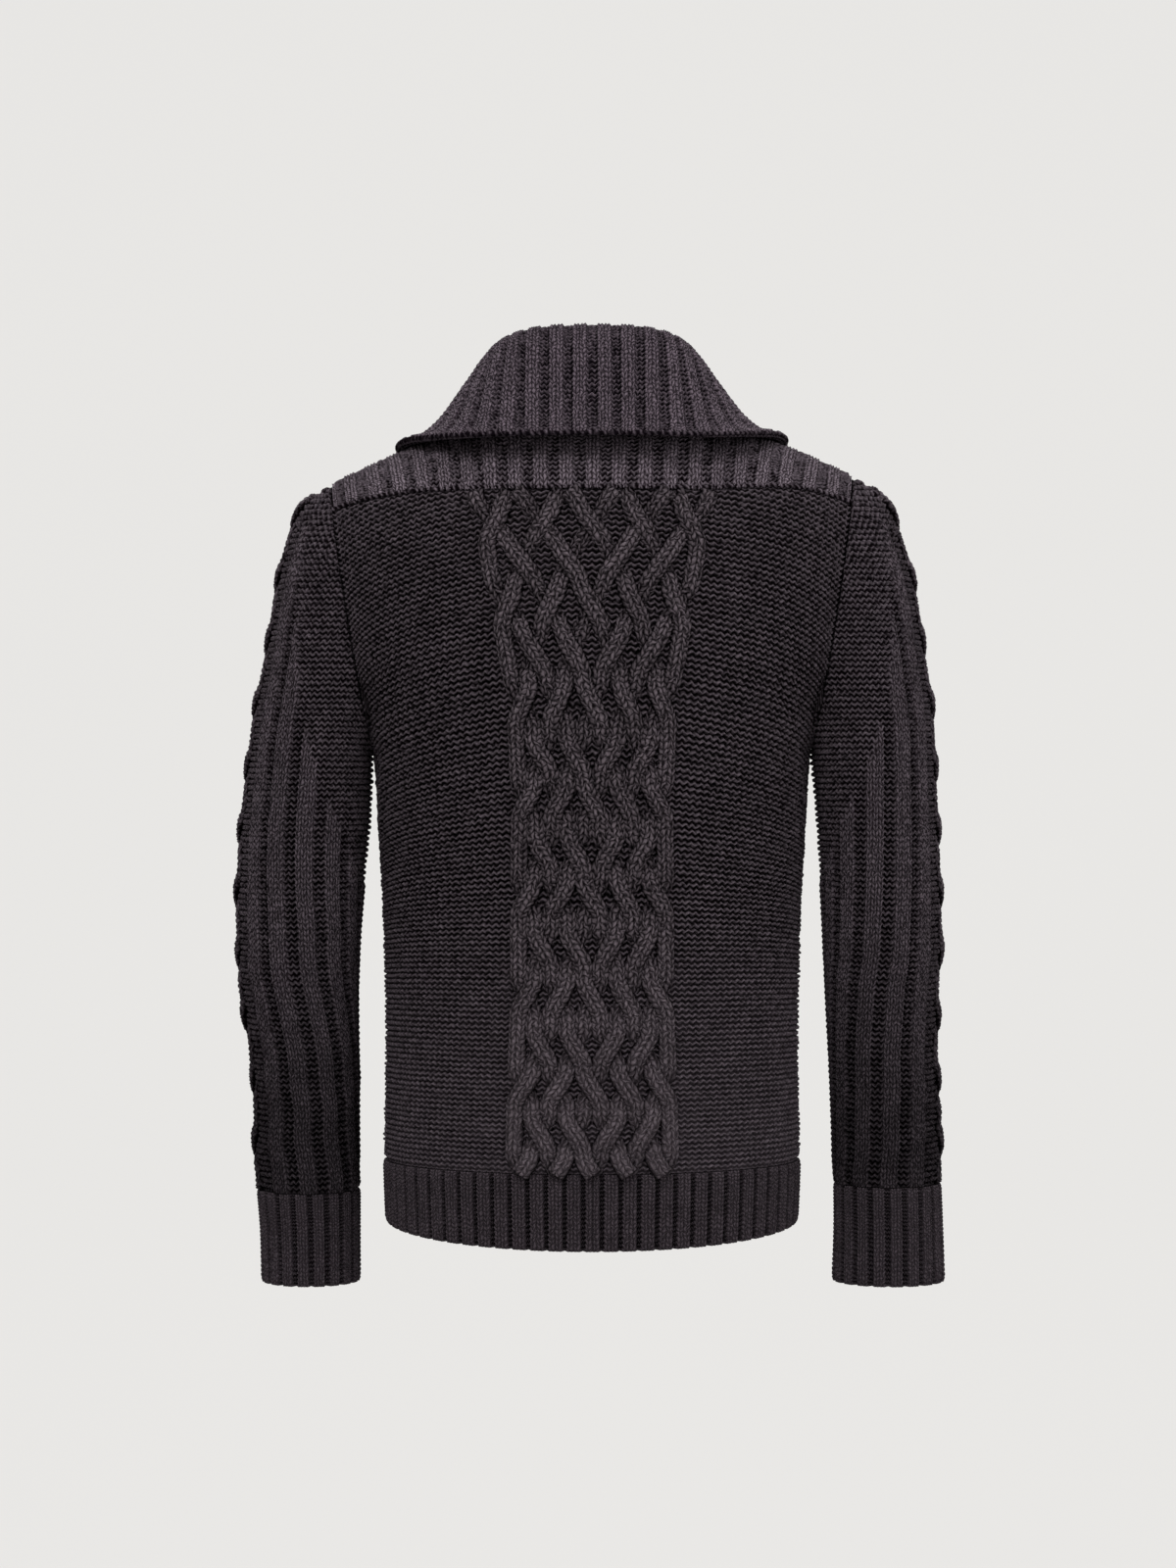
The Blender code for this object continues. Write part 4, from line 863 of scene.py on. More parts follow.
def back_strands(material):
    """The ten strands as ribbons on the back's form."""
    z = np.linspace(HEM_SEAM_Z + 0.0005, YOKE_SEAM_Z - 0.0008, 290)
    slots, level = strand_paths(z)
    half = smooth(LATTICE["z"], LATTICE["spacing"], z) / 2
    pieces = []
    for strand in range(STRANDS):
        distance = (slots[strand] - (STRANDS - 1) / 2) * half
        share = distance / half_girth(z, 1)
        line = body_point(z, share, 1)
        beside = body_point(z, share + 0.004, 1) - line
        normal = unit(np.cross(beside * (1, 1, 0), (0, 0, 1.0)))
        normal *= np.sign(normal[:, 1:2])
        side = unit(np.cross(unit(np.gradient(line, axis=0)), normal))
        pieces.append(strand_mesh(line, side, normal, level[strand], STRAND_HALF_WIDTH, STRAND_HEIGHT,
                                  material))
    return pieces


def join_pieces(name, pieces):
    """Join objects into the first one and name it."""
    bpy.ops.object.select_all(action="DESELECT")
    for piece in pieces:
        piece.select_set(True)
    bpy.context.view_layer.objects.active = pieces[0]
    bpy.ops.object.join()
    pieces[0].name = name
    return pieces[0]


# The same yarn where a cable stands up and is rubbed: a little paler and more uneven.
cable_yarn = yarn_material("dyed_cotton_cable", "#544c51", "#030203", mottle=0.30)
back_cables = join_pieces("back_cables", back_strands(cable_yarn))
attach(back_cables, "root")
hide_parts("back_panel")
width, length, area = cut_size(back_form)

# ---------------------------------------------------------------------------------------------
# Back yoke: a 2x2 ribbed piece of the same yarn, sewn along the top of the back and over the
# shoulders. Its knit ribs stand up and its purl gutters lie deep between them.

NECK_HALF_WIDTH = 0.085
NECK_POINT_Z = 0.003
NECK_BACK_Y = 0.068
NECK_BACK_Z = -0.004
YOKE_RIBS = 22
YOKE_LEAN = 0.04
YOKE_ROWS = 25


def shoulder_z(x):
    """Height of the shoulder seam, straight from the neck point to the top of the armhole."""
    share = (np.abs(x) - NECK_HALF_WIDTH) / (ARMHOLE_TOP[0] - NECK_HALF_WIDTH)
    return NECK_POINT_Z + np.clip(share, 0.0, 1.0) * (ARMHOLE_TOP[1] - NECK_POINT_Z)


def over_shoulder(low, rise, side, neck):
    """Rows that turn from the upper edge of a panel over the shoulder to its seam.

    Each column is part of an oval: y = end y + (y - end y) cos(a) / cos(start), and z climbs with
    sin(a). Where neck is 1 it ends on the back neck there.
    """
    start = math.radians(float(armhole_angle(low[0, -1, 2])))
    angle = start + (math.pi / 2 - start) * rise[:, None]
    end_x = low[..., 0] * ARMHOLE_TOP[0] / low[0, -1, 0]
    across = np.clip(1 - (end_x / NECK_HALF_WIDTH) ** 2, 0.0, 1.0)
    end_y = side * (SEAM_GAP / 2 + neck * NECK_BACK_Y * np.sqrt(across))
    end_z = shoulder_z(end_x) + neck * (NECK_BACK_Z - NECK_POINT_Z) * across
    y = end_y + (low[..., 1] - end_y) * np.cos(angle) / math.cos(start)
    climb = (np.sin(angle) - math.sin(start)) / (1 - math.sin(start))
    z = low[..., 2] + (end_z - low[..., 2]) * climb
    x_edge = swung(ARMHOLE_FOOT[0], ARMHOLE_TOP[0], np.sin(angle))
    return np.stack([low[..., 0] * x_edge / low[0, -1, 0], y, z], axis=-1)


yoke_shares = np.linspace(-1.0, 1.0, 161)[None, :]
yoke_low = body_point(yoke_seam_z(yoke_shares) + SEAM_GAP, yoke_shares, 1)
yoke_points = over_shoulder(yoke_low, np.linspace(0.0, 1.0, 60), 1, 1.0)


def leaning(points):
    """The yoke with its columns closer together in the middle, s (0.92 + 0.08 s^2) of the way out,
    and their feet drawn in by YOKE_LEAN (4 s^2 (1 - s^2))^2 where they run down from the shoulders.
    """
    s = np.linspace(-1.0, 1.0, points.shape[1])[None, :]
    rise = np.linspace(0.0, 1.0, len(points))[:, None]
    drawn = YOKE_LEAN * np.sign(s) * (1 - rise) * (4 * s**2 * (1 - s**2)) ** 2
    share = s * (0.92 + 0.08 * s**2) - drawn
    rows = np.arange(len(points))[:, None]
    return between(points, rows + 0 * share, (share + 1) / 2 * (points.shape[1] - 1))


yoke_form = cloth_form(leaning(yoke_points), (0.0, 0.0, -0.20))
# The same yarn on the shoulders, with pale ribs: painted light, as the shoulders lie highest under the top
# light.
yoke_yarn = yarn_material("dyed_cotton_rib_yoke", "#6a6068", "#080507")
yoke_columns = stitch_columns("KPPK" * YOKE_RIBS, (1.12, 0.88))
yoke_side = 1 - np.abs(2 * yoke_columns["place"] / yoke_columns["round"] - 1)
back_yoke = knit_wall("back_yoke_knit", yoke_form, yoke_columns, YOKE_ROWS, 3, yoke_yarn, (24, 6),
                      rise=0.0022 * ease(yoke_side / 0.06), purl_depth=0.50 + 0.22 * yoke_side)


def seam_welt(name, line, outwards, radius, pitch, material):
    """A chain of slanted stitches over a seam: a closed tube along a line, whose radius swells by
    0.28 cos(2 pi (length / pitch + angle share)).
    """
    along = unit(np.gradient(line, axis=0))
    side = unit(np.cross(along, outwards))
    up = np.cross(side, along)
    run = run_along(line)
    turn = np.arange(10) / 10
    phase = 2 * math.pi * (run[:, None] / pitch + turn[None, :])
    size = radius * (1 + 0.28 * np.cos(phase))
    angle = 2 * math.pi * turn
    ring = line[:, None] + size[..., None] * (
        np.cos(angle)[None, :, None] * side[:, None] + 0.8 * np.sin(angle)[None, :, None] * up[:, None]
    )
    ids = np.arange(ring[..., 0].size).reshape(ring.shape[:2])
    faces = grid_faces(ids, closed=True) + [ids[0].tolist(), ids[-1][::-1].tolist()]
    piece = mesh_piece(name, ring.reshape(-1, 3), faces, material)
    places = np.stack(np.broadcast_arrays(turn[None, :], run[:, None] / pitch), axis=-1)
    # Painted shade in the hollows between the welt's stitches, where its radius is thin.
    depth = 0.55 + 0.35 * np.cos(phase)
    return finish_cloth(piece, depth.ravel(), np.zeros(depth.size), places.reshape(-1, 2))


seam_share = np.linspace(0.0, 1.0, 401)
seam_line, seam_out = yoke_form(seam_share, 0.012 + 0 * seam_share)
seam = seam_welt("yoke_seam", seam_line + seam_out * 0.0006, seam_out, 0.0019, 0.0052, yoke_yarn)
back_yoke = join_pieces("back_yoke_knit", [back_yoke, seam])
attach(back_yoke, "root")
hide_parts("back_yoke")
width, length, area = cut_size(yoke_form, drawn_in=RIB_DRAWN_IN)

# ---------------------------------------------------------------------------------------------
# Front panel: the same purl cloth as the back, with the V neck that the collar is sewn to, turned
# over the shoulders to meet the yoke.

FRONT_TURN_Z = -0.075
V_POINT_Z = -0.212
V_TURN_HALF_WIDTH = 0.084
V_CURVE = 0.85
FRONT_STITCHES = 42
FRONT_ROWS = 128


def v_half_width(z):
    """Half the width of the V neck at a height."""
    share = np.clip((z - V_POINT_Z) / (FRONT_TURN_Z - V_POINT_Z), 0.0, 1.0)
    return V_TURN_HALF_WIDTH * share**V_CURVE


def front_half(sign):
    """Plain form of half the front, from its middle or V edge to the side and armhole."""
    z = np.linspace(HEM_SEAM_Z, FRONT_TURN_Z, 161)[:, None]
    opening = v_half_width(z) / half_girth(z, -1)
    share = opening + (1 - opening) * np.linspace(0.0, 1.0, 81)[None, :]
    body = body_point(z, share, -1)
    top = over_shoulder(body[-1:], np.linspace(0.0, 1.0, 40)[1:], -1, 0.0)
    return cloth_form(np.concatenate([body, top]) * (sign, 1, 1), (0.0, 0.0, -0.25))


# Purl side out, as on the back.
front_yarn = yarn_material("dyed_cotton_purl_front", "#524a50", "#040203")
front_columns = stitch_columns("P" * FRONT_STITCHES)
front_forms = [front_half(sign) for sign in (-1, 1)]
front_halves = [
    knit_wall("front_half", form, front_columns, FRONT_ROWS, 2, front_yarn, (12, 30), purl_depth=0.85)
    for form in front_forms
]
front_panel = join_pieces("front_panel_knit", front_halves)
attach(front_panel, "root")
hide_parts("front_panel")
width, length, area = cut_size(*front_forms)

# ---------------------------------------------------------------------------------------------
# Sleeves: knitted in the round shape of the arm and sewn into the armholes. A cable panel runs down
# the outside; beside it wide ribs of three knit and two purl stitches start one after the other.

SLEEVE_COLUMNS = "outer_x outer_z inner_x inner_z half_depth middle_y"
SLEEVE_LEFT = table(
    SLEEVE_COLUMNS,
    [
        (0.2075, -0.0520, 0.1745, -0.2620, 0.0620, 0.0000),
        (0.2278, -0.0690, 0.1755, -0.2690, 0.0640, 0.0000),
        (0.2396, -0.0980, 0.1760, -0.2770, 0.0650, 0.0000),
        (0.2481, -0.1350, 0.1762, -0.2870, 0.0650, 0.0000),
        (0.2556, -0.1830, 0.1767, -0.3010, 0.0645, -0.0010),
        (0.2651, -0.2300, 0.1777, -0.3180, 0.0635, -0.0025),
        (0.2711, -0.2750, 0.1800, -0.3400, 0.0620, -0.0045),
        (0.2771, -0.3250, 0.1830, -0.3670, 0.0600, -0.0070),
        (0.2804, -0.3830, 0.1865, -0.4050, 0.0570, -0.0105),
        (0.2791, -0.4250, 0.1880, -0.4350, 0.0545, -0.0130),
        (0.2746, -0.4720, 0.1888, -0.4740, 0.0515, -0.0160),
        (0.2686, -0.5150, 0.1885, -0.5150, 0.0485, -0.0190),
        (0.2673, -0.5620, 0.1885, -0.5620, 0.0455, -0.0215),
        (0.2658, -0.6130, 0.1878, -0.6130, 0.0430, -0.0240),
    ],
)
SLEEVE_RIGHT = table(
    SLEEVE_COLUMNS,
    [
        (0.2075, -0.0520, 0.1745, -0.2620, 0.0620, 0.0000),
        (0.2298, -0.0680, 0.1755, -0.2690, 0.0640, 0.0000),
        (0.2426, -0.0980, 0.1765, -0.2770, 0.0650, 0.0000),
        (0.2531, -0.1350, 0.1775, -0.2870, 0.0650, 0.0000),
        (0.2606, -0.1830, 0.1788, -0.3010, 0.0645, -0.0010),
        (0.2676, -0.2300, 0.1805, -0.3180, 0.0635, -0.0025),
        (0.2701, -0.2750, 0.1820, -0.3400, 0.0620, -0.0045),
        (0.2726, -0.3250, 0.1840, -0.3670, 0.0600, -0.0070),
        (0.2751, -0.3830, 0.1862, -0.4050, 0.0570, -0.0105),
        (0.2744, -0.4250, 0.1875, -0.4350, 0.0545, -0.0130),
        (0.2734, -0.4720, 0.1898, -0.4740, 0.0515, -0.0160),
        (0.2734, -0.5150, 0.1922, -0.5150, 0.0485, -0.0190),
        (0.2753, -0.5620, 0.1942, -0.5620, 0.0455, -0.0215),
        (0.2773, -0.6080, 0.1960, -0.6080, 0.0430, -0.0240),
    ],
)
CUFF_LEFT = table(
    SLEEVE_COLUMNS,
    [
        (0.2665, -0.6138, 0.1880, -0.6138, 0.0422, -0.0240),
        (0.2640, -0.6460, 0.1882, -0.6460, 0.0408, -0.0255),
        (0.2630, -0.6875, 0.1882, -0.6875, 0.0400, -0.0270),
    ],
)
CUFF_RIGHT = table(
    SLEEVE_COLUMNS,
    [
        (0.2780, -0.6088, 0.1962, -0.6088, 0.0422, -0.0240),
        (0.2795, -0.6440, 0.1965, -0.6440, 0.0412, -0.0255),
        (0.2812, -0.6875, 0.1952, -0.6875, 0.0410, -0.0270),
    ],
)
SLEEVE_RIB_STARTS_Z = (-0.066, -0.140, -0.230, -0.290, -0.330, -0.360)
SLEEVE_PANEL_STITCHES = 14
LEFT_FOLDS = table(
    FOLD_COLUMNS,
    [
        (0.30, 0.93, 12.0, 0.16, 0.016, 0.0024),
        (0.36, 0.86, -14.0, 0.14, 0.018, 0.0020),
        (0.42, 0.72, 18.0, 0.12, 0.026, 0.0022),
        (0.22, 0.64, -16.0, 0.12, 0.022, -0.0018),
        (0.80, 0.90, -12.0, 0.16, 0.018, 0.0022),
    ],
)
RIGHT_FOLDS = table(
    FOLD_COLUMNS,
    [
        (0.26, 0.95, -12.0, 0.16, 0.015, 0.0022),
        (0.38, 0.88, 16.0, 0.14, 0.018, 0.0022),
        (0.44, 0.68, -16.0, 0.12, 0.024, 0.0020),
        (0.20, 0.70, 14.0, 0.12, 0.022, -0.0018),
        (0.78, 0.92, 12.0, 0.16, 0.018, 0.0022),
    ],
)
SLEEVE_RIB_PITCH = 0.0232
SLEEVE_STITCH = SLEEVE_RIB_PITCH / 5
SLEEVE_ROWS = 124
HALF_ROUND = 0.4999995
LEVELS = 161
LINES = 97
MOST_ACROSS = 0.26
RIB_GROWS_OVER = 0.012


def arm_form(sections, sign):
    """Plain form of a sleeve or cuff as rings of ovals, from the seam of its upper end downwards.

    Columns start at the inner side, run over the back to the outer side and on over the front.
    """
    at = np.linspace(0.0, 1.0, len(sections["outer_x"]))
    rows = np.linspace(0.0, 1.0, 201)
    here = {name: smooth(at, values, rows)[:, None] for name, values in sections.items()}
    angle = np.radians(-90.0 + 360.0 * np.linspace(0.0, 1.0, 145))[None, :]
    x, z = (swung(here["inner_" + axis], here["outer_" + axis], np.sin(angle)) for axis in "xz")
    y = here["middle_y"] + here["half_depth"] * np.cos(angle)
    return np.stack([sign * x, y, z], axis=-1)


def evenly_round(points, lines=144):
    """Rings of points moved along themselves until they are evenly spaced, and their girths."""
    run = run_along(points)
    even = [
        [np.interp(np.linspace(0.0, length[-1], lines + 1), length, ring[:, axis]) for axis in range(3)]
        for ring, length in zip(points, run)
    ]
    return np.array(even).transpose(0, 2, 1), run[:, -1]


def arm_cloth(sections, sign, folds=None):
    """A sleeve's or cuff's rings and their girths, and its form, with folds if it has any."""
    rings, girths = evenly_round(arm_form(sections, sign))
    form = cloth_form(rings, rings.mean(axis=1, keepdims=True), closed=True)
    return rings, girths, creased(form, folds) if folds else form


def fallen(form, sign):
    """Where the stitches of half a sleeve lie: arrays of its form's u and v, and of how far beyond
    its end a stitch would be, with a row for each level and four columns for each stitch from the
    outer line, at its front (1) or back (-1).

    A level is where each line along the sleeve has sunk by one share of its way from the height of
    the sleeve's top to the cuff; stitches are SLEEVE_STITCH apart along it, and it ends at the
    armhole or at the inner line, where the stitches beyond are ended too.
    """
    steps = np.linspace(0.0, 1.0, LEVELS)
    lines = 0.5 + sign * np.linspace(0.0, HALF_ROUND, LINES)
    z = form(lines[None, :], steps[:, None])[0][..., 2]
    sunk = np.maximum.accumulate((z.max() - z) / (z.max() - z[-1]), axis=0)
    down = np.stack([np.interp(steps, column, steps) for column in sunk.T], axis=1)
    last = np.interp(steps, sunk[0], np.arange(LINES))
    column = np.linspace(0.0, 1.0, LINES)[None, :] * last[:, None]
    row = np.arange(LEVELS)[:, None] + 0 * column
    u = 0.5 + sign * HALF_ROUND * column / (LINES - 1)
    v = between(down, row, column)
    run = run_along(form(u, v)[0])
    goal = np.arange(0.0, MOST_ACROSS, SLEEVE_STITCH / 4)
    at = np.array([np.interp(goal, length, np.arange(LINES)) for length in run])
    row = row[:, :1] + 0 * at
    return between(u, row, at), between(v, row, at), goal[None, :] - run[:, -1:]


def make_sleeve(name, sections, sign, material, folds):
    """Stitched wall of a sleeve. Its rows lie level and its columns keep their distance from the
    outer line, so both end at the armhole, and ribs end one by one at the underarm.
    """
    rings, girths, form = arm_cloth(sections, sign, folds)
    ribs = (int(girths.max() / 2 / SLEEVE_STITCH) - SLEEVE_PANEL_STITCHES // 2) // 5 + 1
    kinds = ("PKKKP" * ribs) + "P" * SLEEVE_PANEL_STITCHES + ("PKKKP" * ribs)
    columns = stitch_columns(kinds, closed=True)
    total = columns["round"]
    halves = {side: fallen(form, side) for side in (-1, 1)}

    def found(which, u, v):
        """Values of one of the arrays of both halves at places in stitches u and levels v."""
        u, v = np.broadcast_arrays(u, v)
        away = (u - 0.5) * total
        back, front = (between(halves[side][which], v * (LEVELS - 1), np.abs(away) * 4) for side in (-1, 1))
        return np.where(away < 0, back, front)

    def placed(u, v):
        """Point and normal at places in stitches u and levels v."""
        return form(found(0, u, v), found(1, u, v))

    def ended(u, v):
        """Whether the column has reached the armhole or the inner line."""
        return found(2, u, v) > 0

    def grown(u, v):
        """Share of knit structure: each stitch of a rib starts lower than those nearer the panel."""
        away = np.abs(u - 0.5) * total - SLEEVE_PANEL_STITCHES / 2
        start = np.interp(np.floor(away) / 5, np.arange(len(SLEEVE_RIB_STARTS_Z)), SLEEVE_RIB_STARTS_Z)
        top_z, low_z = rings[..., 2].max(), rings[-1, :, 2].mean()
        return ease((start - top_z - v * (low_z - top_z)) / RIB_GROWS_OVER)

    return knit_wall(name, placed, columns, SLEEVE_ROWS, 2, material, (64, 40), closed=True,
                     rise=0.0019, up=-1, grown=grown, ended=ended, purl_depth=0.66)


SLEEVE_CABLE_SWING = 0.0115
SLEEVE_CABLE_PERIOD = 0.100
SLEEVE_STRAND = (0.0080, 0.0036)
SLEEVE_CABLE_ENDS = (0.045, 0.997)


def sleeve_strands(sections, sign, material, folds):
    """Two strands that swing from side to side of the outer line and cross over by turns."""
    _, girths, form = arm_cloth(sections, sign, folds)
    v = np.linspace(*SLEEVE_CABLE_ENDS, 330)
    girth = np.interp(v, np.linspace(0.0, 1.0, len(girths)), girths)
    z = form(0.5 + 0 * v, v)[0][:, 2]
    wave = SLEEVE_CABLE_SWING * np.cos(2 * math.pi * z / SLEEVE_CABLE_PERIOD)
    swings = (z / SLEEVE_CABLE_PERIOD - 0.25) * 2
    crossing = np.round(swings)
    away = np.abs(swings - crossing)
    near = ease(1.25 - away / 0.26) * np.where(np.mod(crossing, 2) == 0, 1, -1)
    pieces = []
    for order in (1, -1):
        line, normal = form(0.5 + order * wave / girth, v)
        line, normal, level = line[::-1], normal[::-1], (order * near)[::-1]
        side = unit(np.cross(np.gradient(line, axis=0), normal))
        pieces.append(strand_mesh(line, side, normal, level, *SLEEVE_STRAND, material))
    return pieces


# The same yarn on the arms, darker towards the cuffs: painted shade for light that falls off downwards.
sleeve_yarn = yarn_material("dyed_cotton_rib_sleeve", "#50484e", "#050304", mottle=0.32, low_gain=0.44,
                           low_calm=0.10)
for name, sections, sign, folds in (
    ("sleeve_left", SLEEVE_LEFT, 1, LEFT_FOLDS),
    ("sleeve_right", SLEEVE_RIGHT, -1, RIGHT_FOLDS),
):
    sleeve = make_sleeve(name + "_knit", sections, sign, sleeve_yarn, folds)
    mend_seams(sleeve)
    cables = join_pieces(name + "_cable", sleeve_strands(sections, sign, sleeve_yarn, folds))
    for piece in (sleeve, cables):
        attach(piece, "root")
        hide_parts(name)
    width, length, area = cut_size(arm_cloth(sections, sign)[2])

# ---------------------------------------------------------------------------------------------
# Cuffs: 2x2 rib of the same yarn, knitted tighter than the sleeve and linked to its end. Their lower
# edge is cast off, so it waves a little with the ribs.

CUFF_RIBS = 19
CUFF_ROWS = 24

# Tight rib, at its darkest, with little between crests and grooves: painted shade, as the cuffs hang
# lowest, furthest from the top light.
cuff_yarn = yarn_material("dyed_cotton_rib_cuff", "#3f383d", "#050304")
cuff_columns = stitch_columns("KPPK" * CUFF_RIBS, (1.38, 0.62), closed=True)
for name, sections, sign in (("cuff_left", CUFF_LEFT, 1), ("cuff_right", CUFF_RIGHT, -1)):
    form = arm_cloth(sections, sign)[2]
    cuff = knit_wall(name + "_knit", form, cuff_columns, CUFF_ROWS, 3, cuff_yarn, (38, 4), closed=True,
                     rise=0.0018, up=-1, moved=scalloped(cuff_columns, CUFF_ROWS), purl_depth=0.66)
    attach(cuff, "root")
    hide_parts(name)
    width, length, area = cut_size(form, drawn_in=RIB_DRAWN_IN)

# ---------------------------------------------------------------------------------------------
# Hem band: 2x2 rib of the same yarn, knitted in the round and linked below the panels. Its cast-off
# edge hangs a little lower behind.

HEM_RIBS = 63
HEM_ROWS = 17
HEM_DROOP_FROM_Y = 0.12


def hem_rings():
    """Rings of the hem, from its seam down to its edge, starting in the middle of the back."""
    rings = []
    for share in np.linspace(0.0, 1.0, 41):
        top = HEM_SEAM_Z - SEAM_GAP
        z = np.full(121, top + (HEM_EDGE_Z - top) * share)
        quarter = np.linspace(0.0, 1.0, 121)
        back, front = body_point(z, quarter, 1), body_point(z, quarter, -1)[::-1]
        left = np.concatenate([back, front[1:]])
        ring = np.concatenate([left, (left * (-1, 1, 1))[::-1][1:]])
        ring[:, 2] -= np.clip(ring[:, 1] / HEM_DROOP_FROM_Y, 0.0, 1.0) * HEM_BACK_DROOP * share**2
        rings.append(ring)
    return evenly_round(np.array(rings), 480)[0]


# As dark as the cuffs: painted shade, as the hem hangs low, far from the top light.
hem_yarn = yarn_material("dyed_cotton_rib_hem", "#3f383d", "#040203")
hem_form = cloth_form(hem_rings(), BODY_MIDDLE, closed=True)
hem_columns = stitch_columns("KPPK" * HEM_RIBS, (1.56, 0.44), closed=True)
hem_band = knit_wall("hem_band_knit", hem_form, hem_columns, HEM_ROWS, 2, hem_yarn, (126, 4), closed=True,
                     rise=0.0018, up=-1, moved=scalloped(hem_columns, HEM_ROWS), purl_depth=0.60)
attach(hem_band, "root")
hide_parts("hem_band")
width, length, area = cut_size(hem_form, drawn_in=RIB_DRAWN_IN)

# ---------------------------------------------------------------------------------------------
# Collar: one wide 2x2 ribbed piece of the same yarn, a little faded, sewn to the neck edge, standing
# up and folded over. Its fall spreads on the shoulders and its two ends meet, 9 mm apart, at the V.

COLLAR_WALL = 0.0044
COLLAR_RIBS = 48
COLLAR_ROWS = 44
COLLAR_FOLD_AT = 0.40
COLLAR_SEAM_RISE = 0.9
COLLAR_INTO_FOLD = (0.50, 0.45)
COLLAR_FROM_FOLD = (0.40, 0.36)
COLLAR_TO_EDGE = 1.15
RIB_SPREAD = (0.10, 0.75)
COLLAR = table(
    "at seam_x seam_y seam_z fold_x fold_y fold_z edge_x edge_y edge_z flare",
    [
        (0.00, 0.0000, 0.0620, -0.006, 0.0000, 0.0740, 0.0630, 0.0000, 0.1200, -0.0215, 0.40),
        (0.12, 0.0440, 0.0510, -0.005, 0.0420, 0.0640, 0.0620, 0.0700, 0.1070, -0.0212, 0.50),
        (0.24, 0.0680, 0.0230, -0.003, 0.0670, 0.0310, 0.0580, 0.1210, 0.0690, -0.0200, 0.80),
        (0.36, 0.0790, -0.0080, -0.002, 0.0730, -0.0150, 0.0510, 0.1520, 0.0120, -0.0195, 0.85),
        (0.50, 0.0790, -0.0500, -0.020, 0.0720, -0.0640, 0.0200, 0.1505, -0.0590, -0.0335, 0.85),
        (0.65, 0.0770, -0.0970, -0.078, 0.0650, -0.1160, -0.0380, 0.1280, -0.1060, -0.0880, 0.85),
        (0.82, 0.0410, -0.1230, -0.145, 0.0370, -0.1470, -0.1180, 0.0840, -0.1340, -0.1780, 0.85),
        (1.00, 0.0045, -0.1345, -0.205, 0.0045, -0.1580, -0.1910, 0.0045, -0.1440, -0.2520, 0.85),
    ],
)


def collar_grid(columns, rows):
    """The middle surface of the collar, from its seam over the fold to its free edge.

    Each column is two cubic arcs that meet at the fold, where they run outwards and down. Columns
    run from the end on the wearer's right round the back to the end on the left.
    """
    along = np.linspace(-1.0, 1.0, columns)
    side = np.where(along < 0, -1.0, 1.0)
    guide = {name: smooth(COLLAR["at"], COLLAR[name], np.abs(along)) for name in COLLAR}
    seam, fold, edge = (
        np.stack([side * guide[line + "_x"], guide[line + "_y"], guide[line + "_z"]], -1)
        for line in ("seam", "fold", "edge")
    )
    out, drop = edge - seam, seam + edge - 2 * fold
    drop = unit(drop)
    out = unit(out - np.sum(out * drop, axis=1, keepdims=True) * drop)
    stand = np.linalg.norm(fold - seam, axis=1, keepdims=True)
    fall = np.linalg.norm(edge - fold, axis=1, keepdims=True)
    place = np.linspace(0.0, 1.0, rows)[:, None, None]
    inside = place <= COLLAR_FOLD_AT
    t = np.where(inside, place / COLLAR_FOLD_AT, (place - COLLAR_FOLD_AT) / (1 - COLLAR_FOLD_AT))
    start, end = np.where(inside, seam, fold), np.where(inside, fold, edge)
    into = (out * COLLAR_INTO_FOLD[0] + drop * COLLAR_INTO_FOLD[1]) * stand
    leave = (out * COLLAR_FROM_FOLD[0] + drop * COLLAR_FROM_FOLD[1]) * fall
    flare = guide["flare"][:, None]
    reach = (out * flare + drop * (COLLAR_TO_EDGE - flare)) * fall
    lead = np.where(inside, -drop * stand * COLLAR_SEAM_RISE, leave)
    trail = np.where(inside, into, reach)
    return cubic(start, end, lead, trail, t)


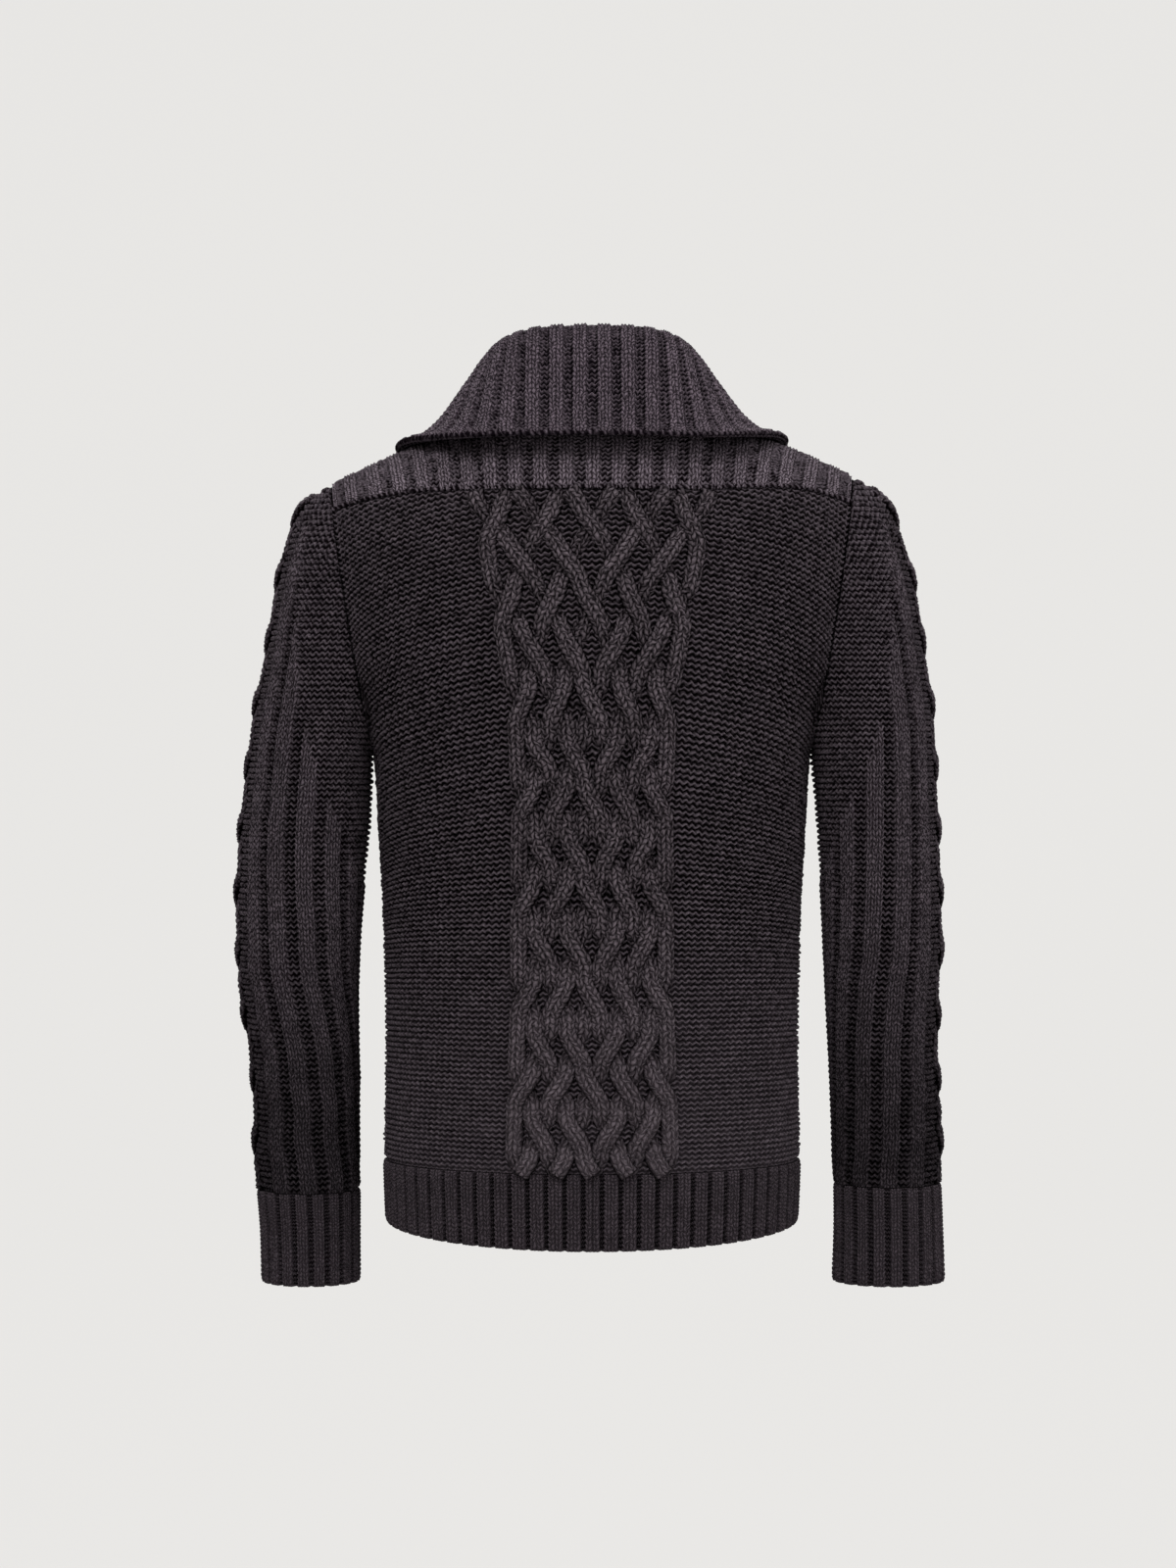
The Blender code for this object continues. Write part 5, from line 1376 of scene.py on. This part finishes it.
def spread_ribs(grid):
    """Move the columns of the collar along its rows, so that its ribs stay parallel behind.

    From the middle of the back, columns are as far apart in every row as they are on the fold; what
    a row is longer or shorter is taken up where the share along it lies within RIB_SPREAD.
    """
    half = grid.shape[1] // 2
    rows = len(grid)
    fold_row = round(COLLAR_FOLD_AT * (rows - 1))
    run = run_along(grid[:, half:])
    share = np.linspace(0.0, 1.0, half + 1)
    taken = ease((share - RIB_SPREAD[0]) / (RIB_SPREAD[1] - RIB_SPREAD[0]))
    goal = share * run[fold_row, -1] + (run[:, -1:] - run[fold_row, -1]) * taken
    moved = np.array([np.interp(goal[row], run[row], np.arange(half + 1)) for row in range(rows)])
    column = np.concatenate([half - moved[:, :0:-1], half + moved], axis=1)
    return between(grid, np.arange(rows)[:, None] + 0 * column, column)


def sheet_form(points, out_at, out_along, offset):
    """Like cloth_form, for a folded sheet: its normals keep one side, the one that faces along
    out_along at the grid place out_at, and points are moved along them by offset.
    """
    points = lift_shoulder(points)
    normal = unit(np.cross(np.gradient(points, axis=1), np.gradient(points, axis=0)))
    normal *= np.sign(normal[out_at] @ np.array(out_along, float))
    return grid_form(points + normal * offset, normal)


# Plum-tinted, and paler than the back along the ribs: painted light, as the collar sits highest under the
# top light.
collar_yarn = yarn_material("cotton_rib_collar_painted_light", "#584e56", "#090609")
collar_points = spread_ribs(collar_grid(577, 161))
collar_form = sheet_form(collar_points, (-1, 288), (0.0, 1.0, 0.0), COLLAR_WALL / 2)
collar_columns = stitch_columns("PKKP" * COLLAR_RIBS, (1.20, 0.80))
collar = knit_wall("collar_knit", collar_form, collar_columns, COLLAR_ROWS, 2, collar_yarn, (72, 36),
                   wall=COLLAR_WALL, rise=0.0022, up=-1, purl_depth=0.70)
edge_share = np.linspace(0.0, 1.0, 841)
edge_line, edge_out = collar_form(edge_share, 0.996 + 0 * edge_share)
edge = seam_welt("collar_edge", edge_line - edge_out * COLLAR_WALL * 0.35, edge_out, 0.0024, 0.0056,
                 collar_yarn)
collar = join_pieces("collar_knit", [collar, edge])
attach(collar, "root")
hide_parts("collar")
width, length, area = cut_size(collar_form, drawn_in=RIB_DRAWN_IN)
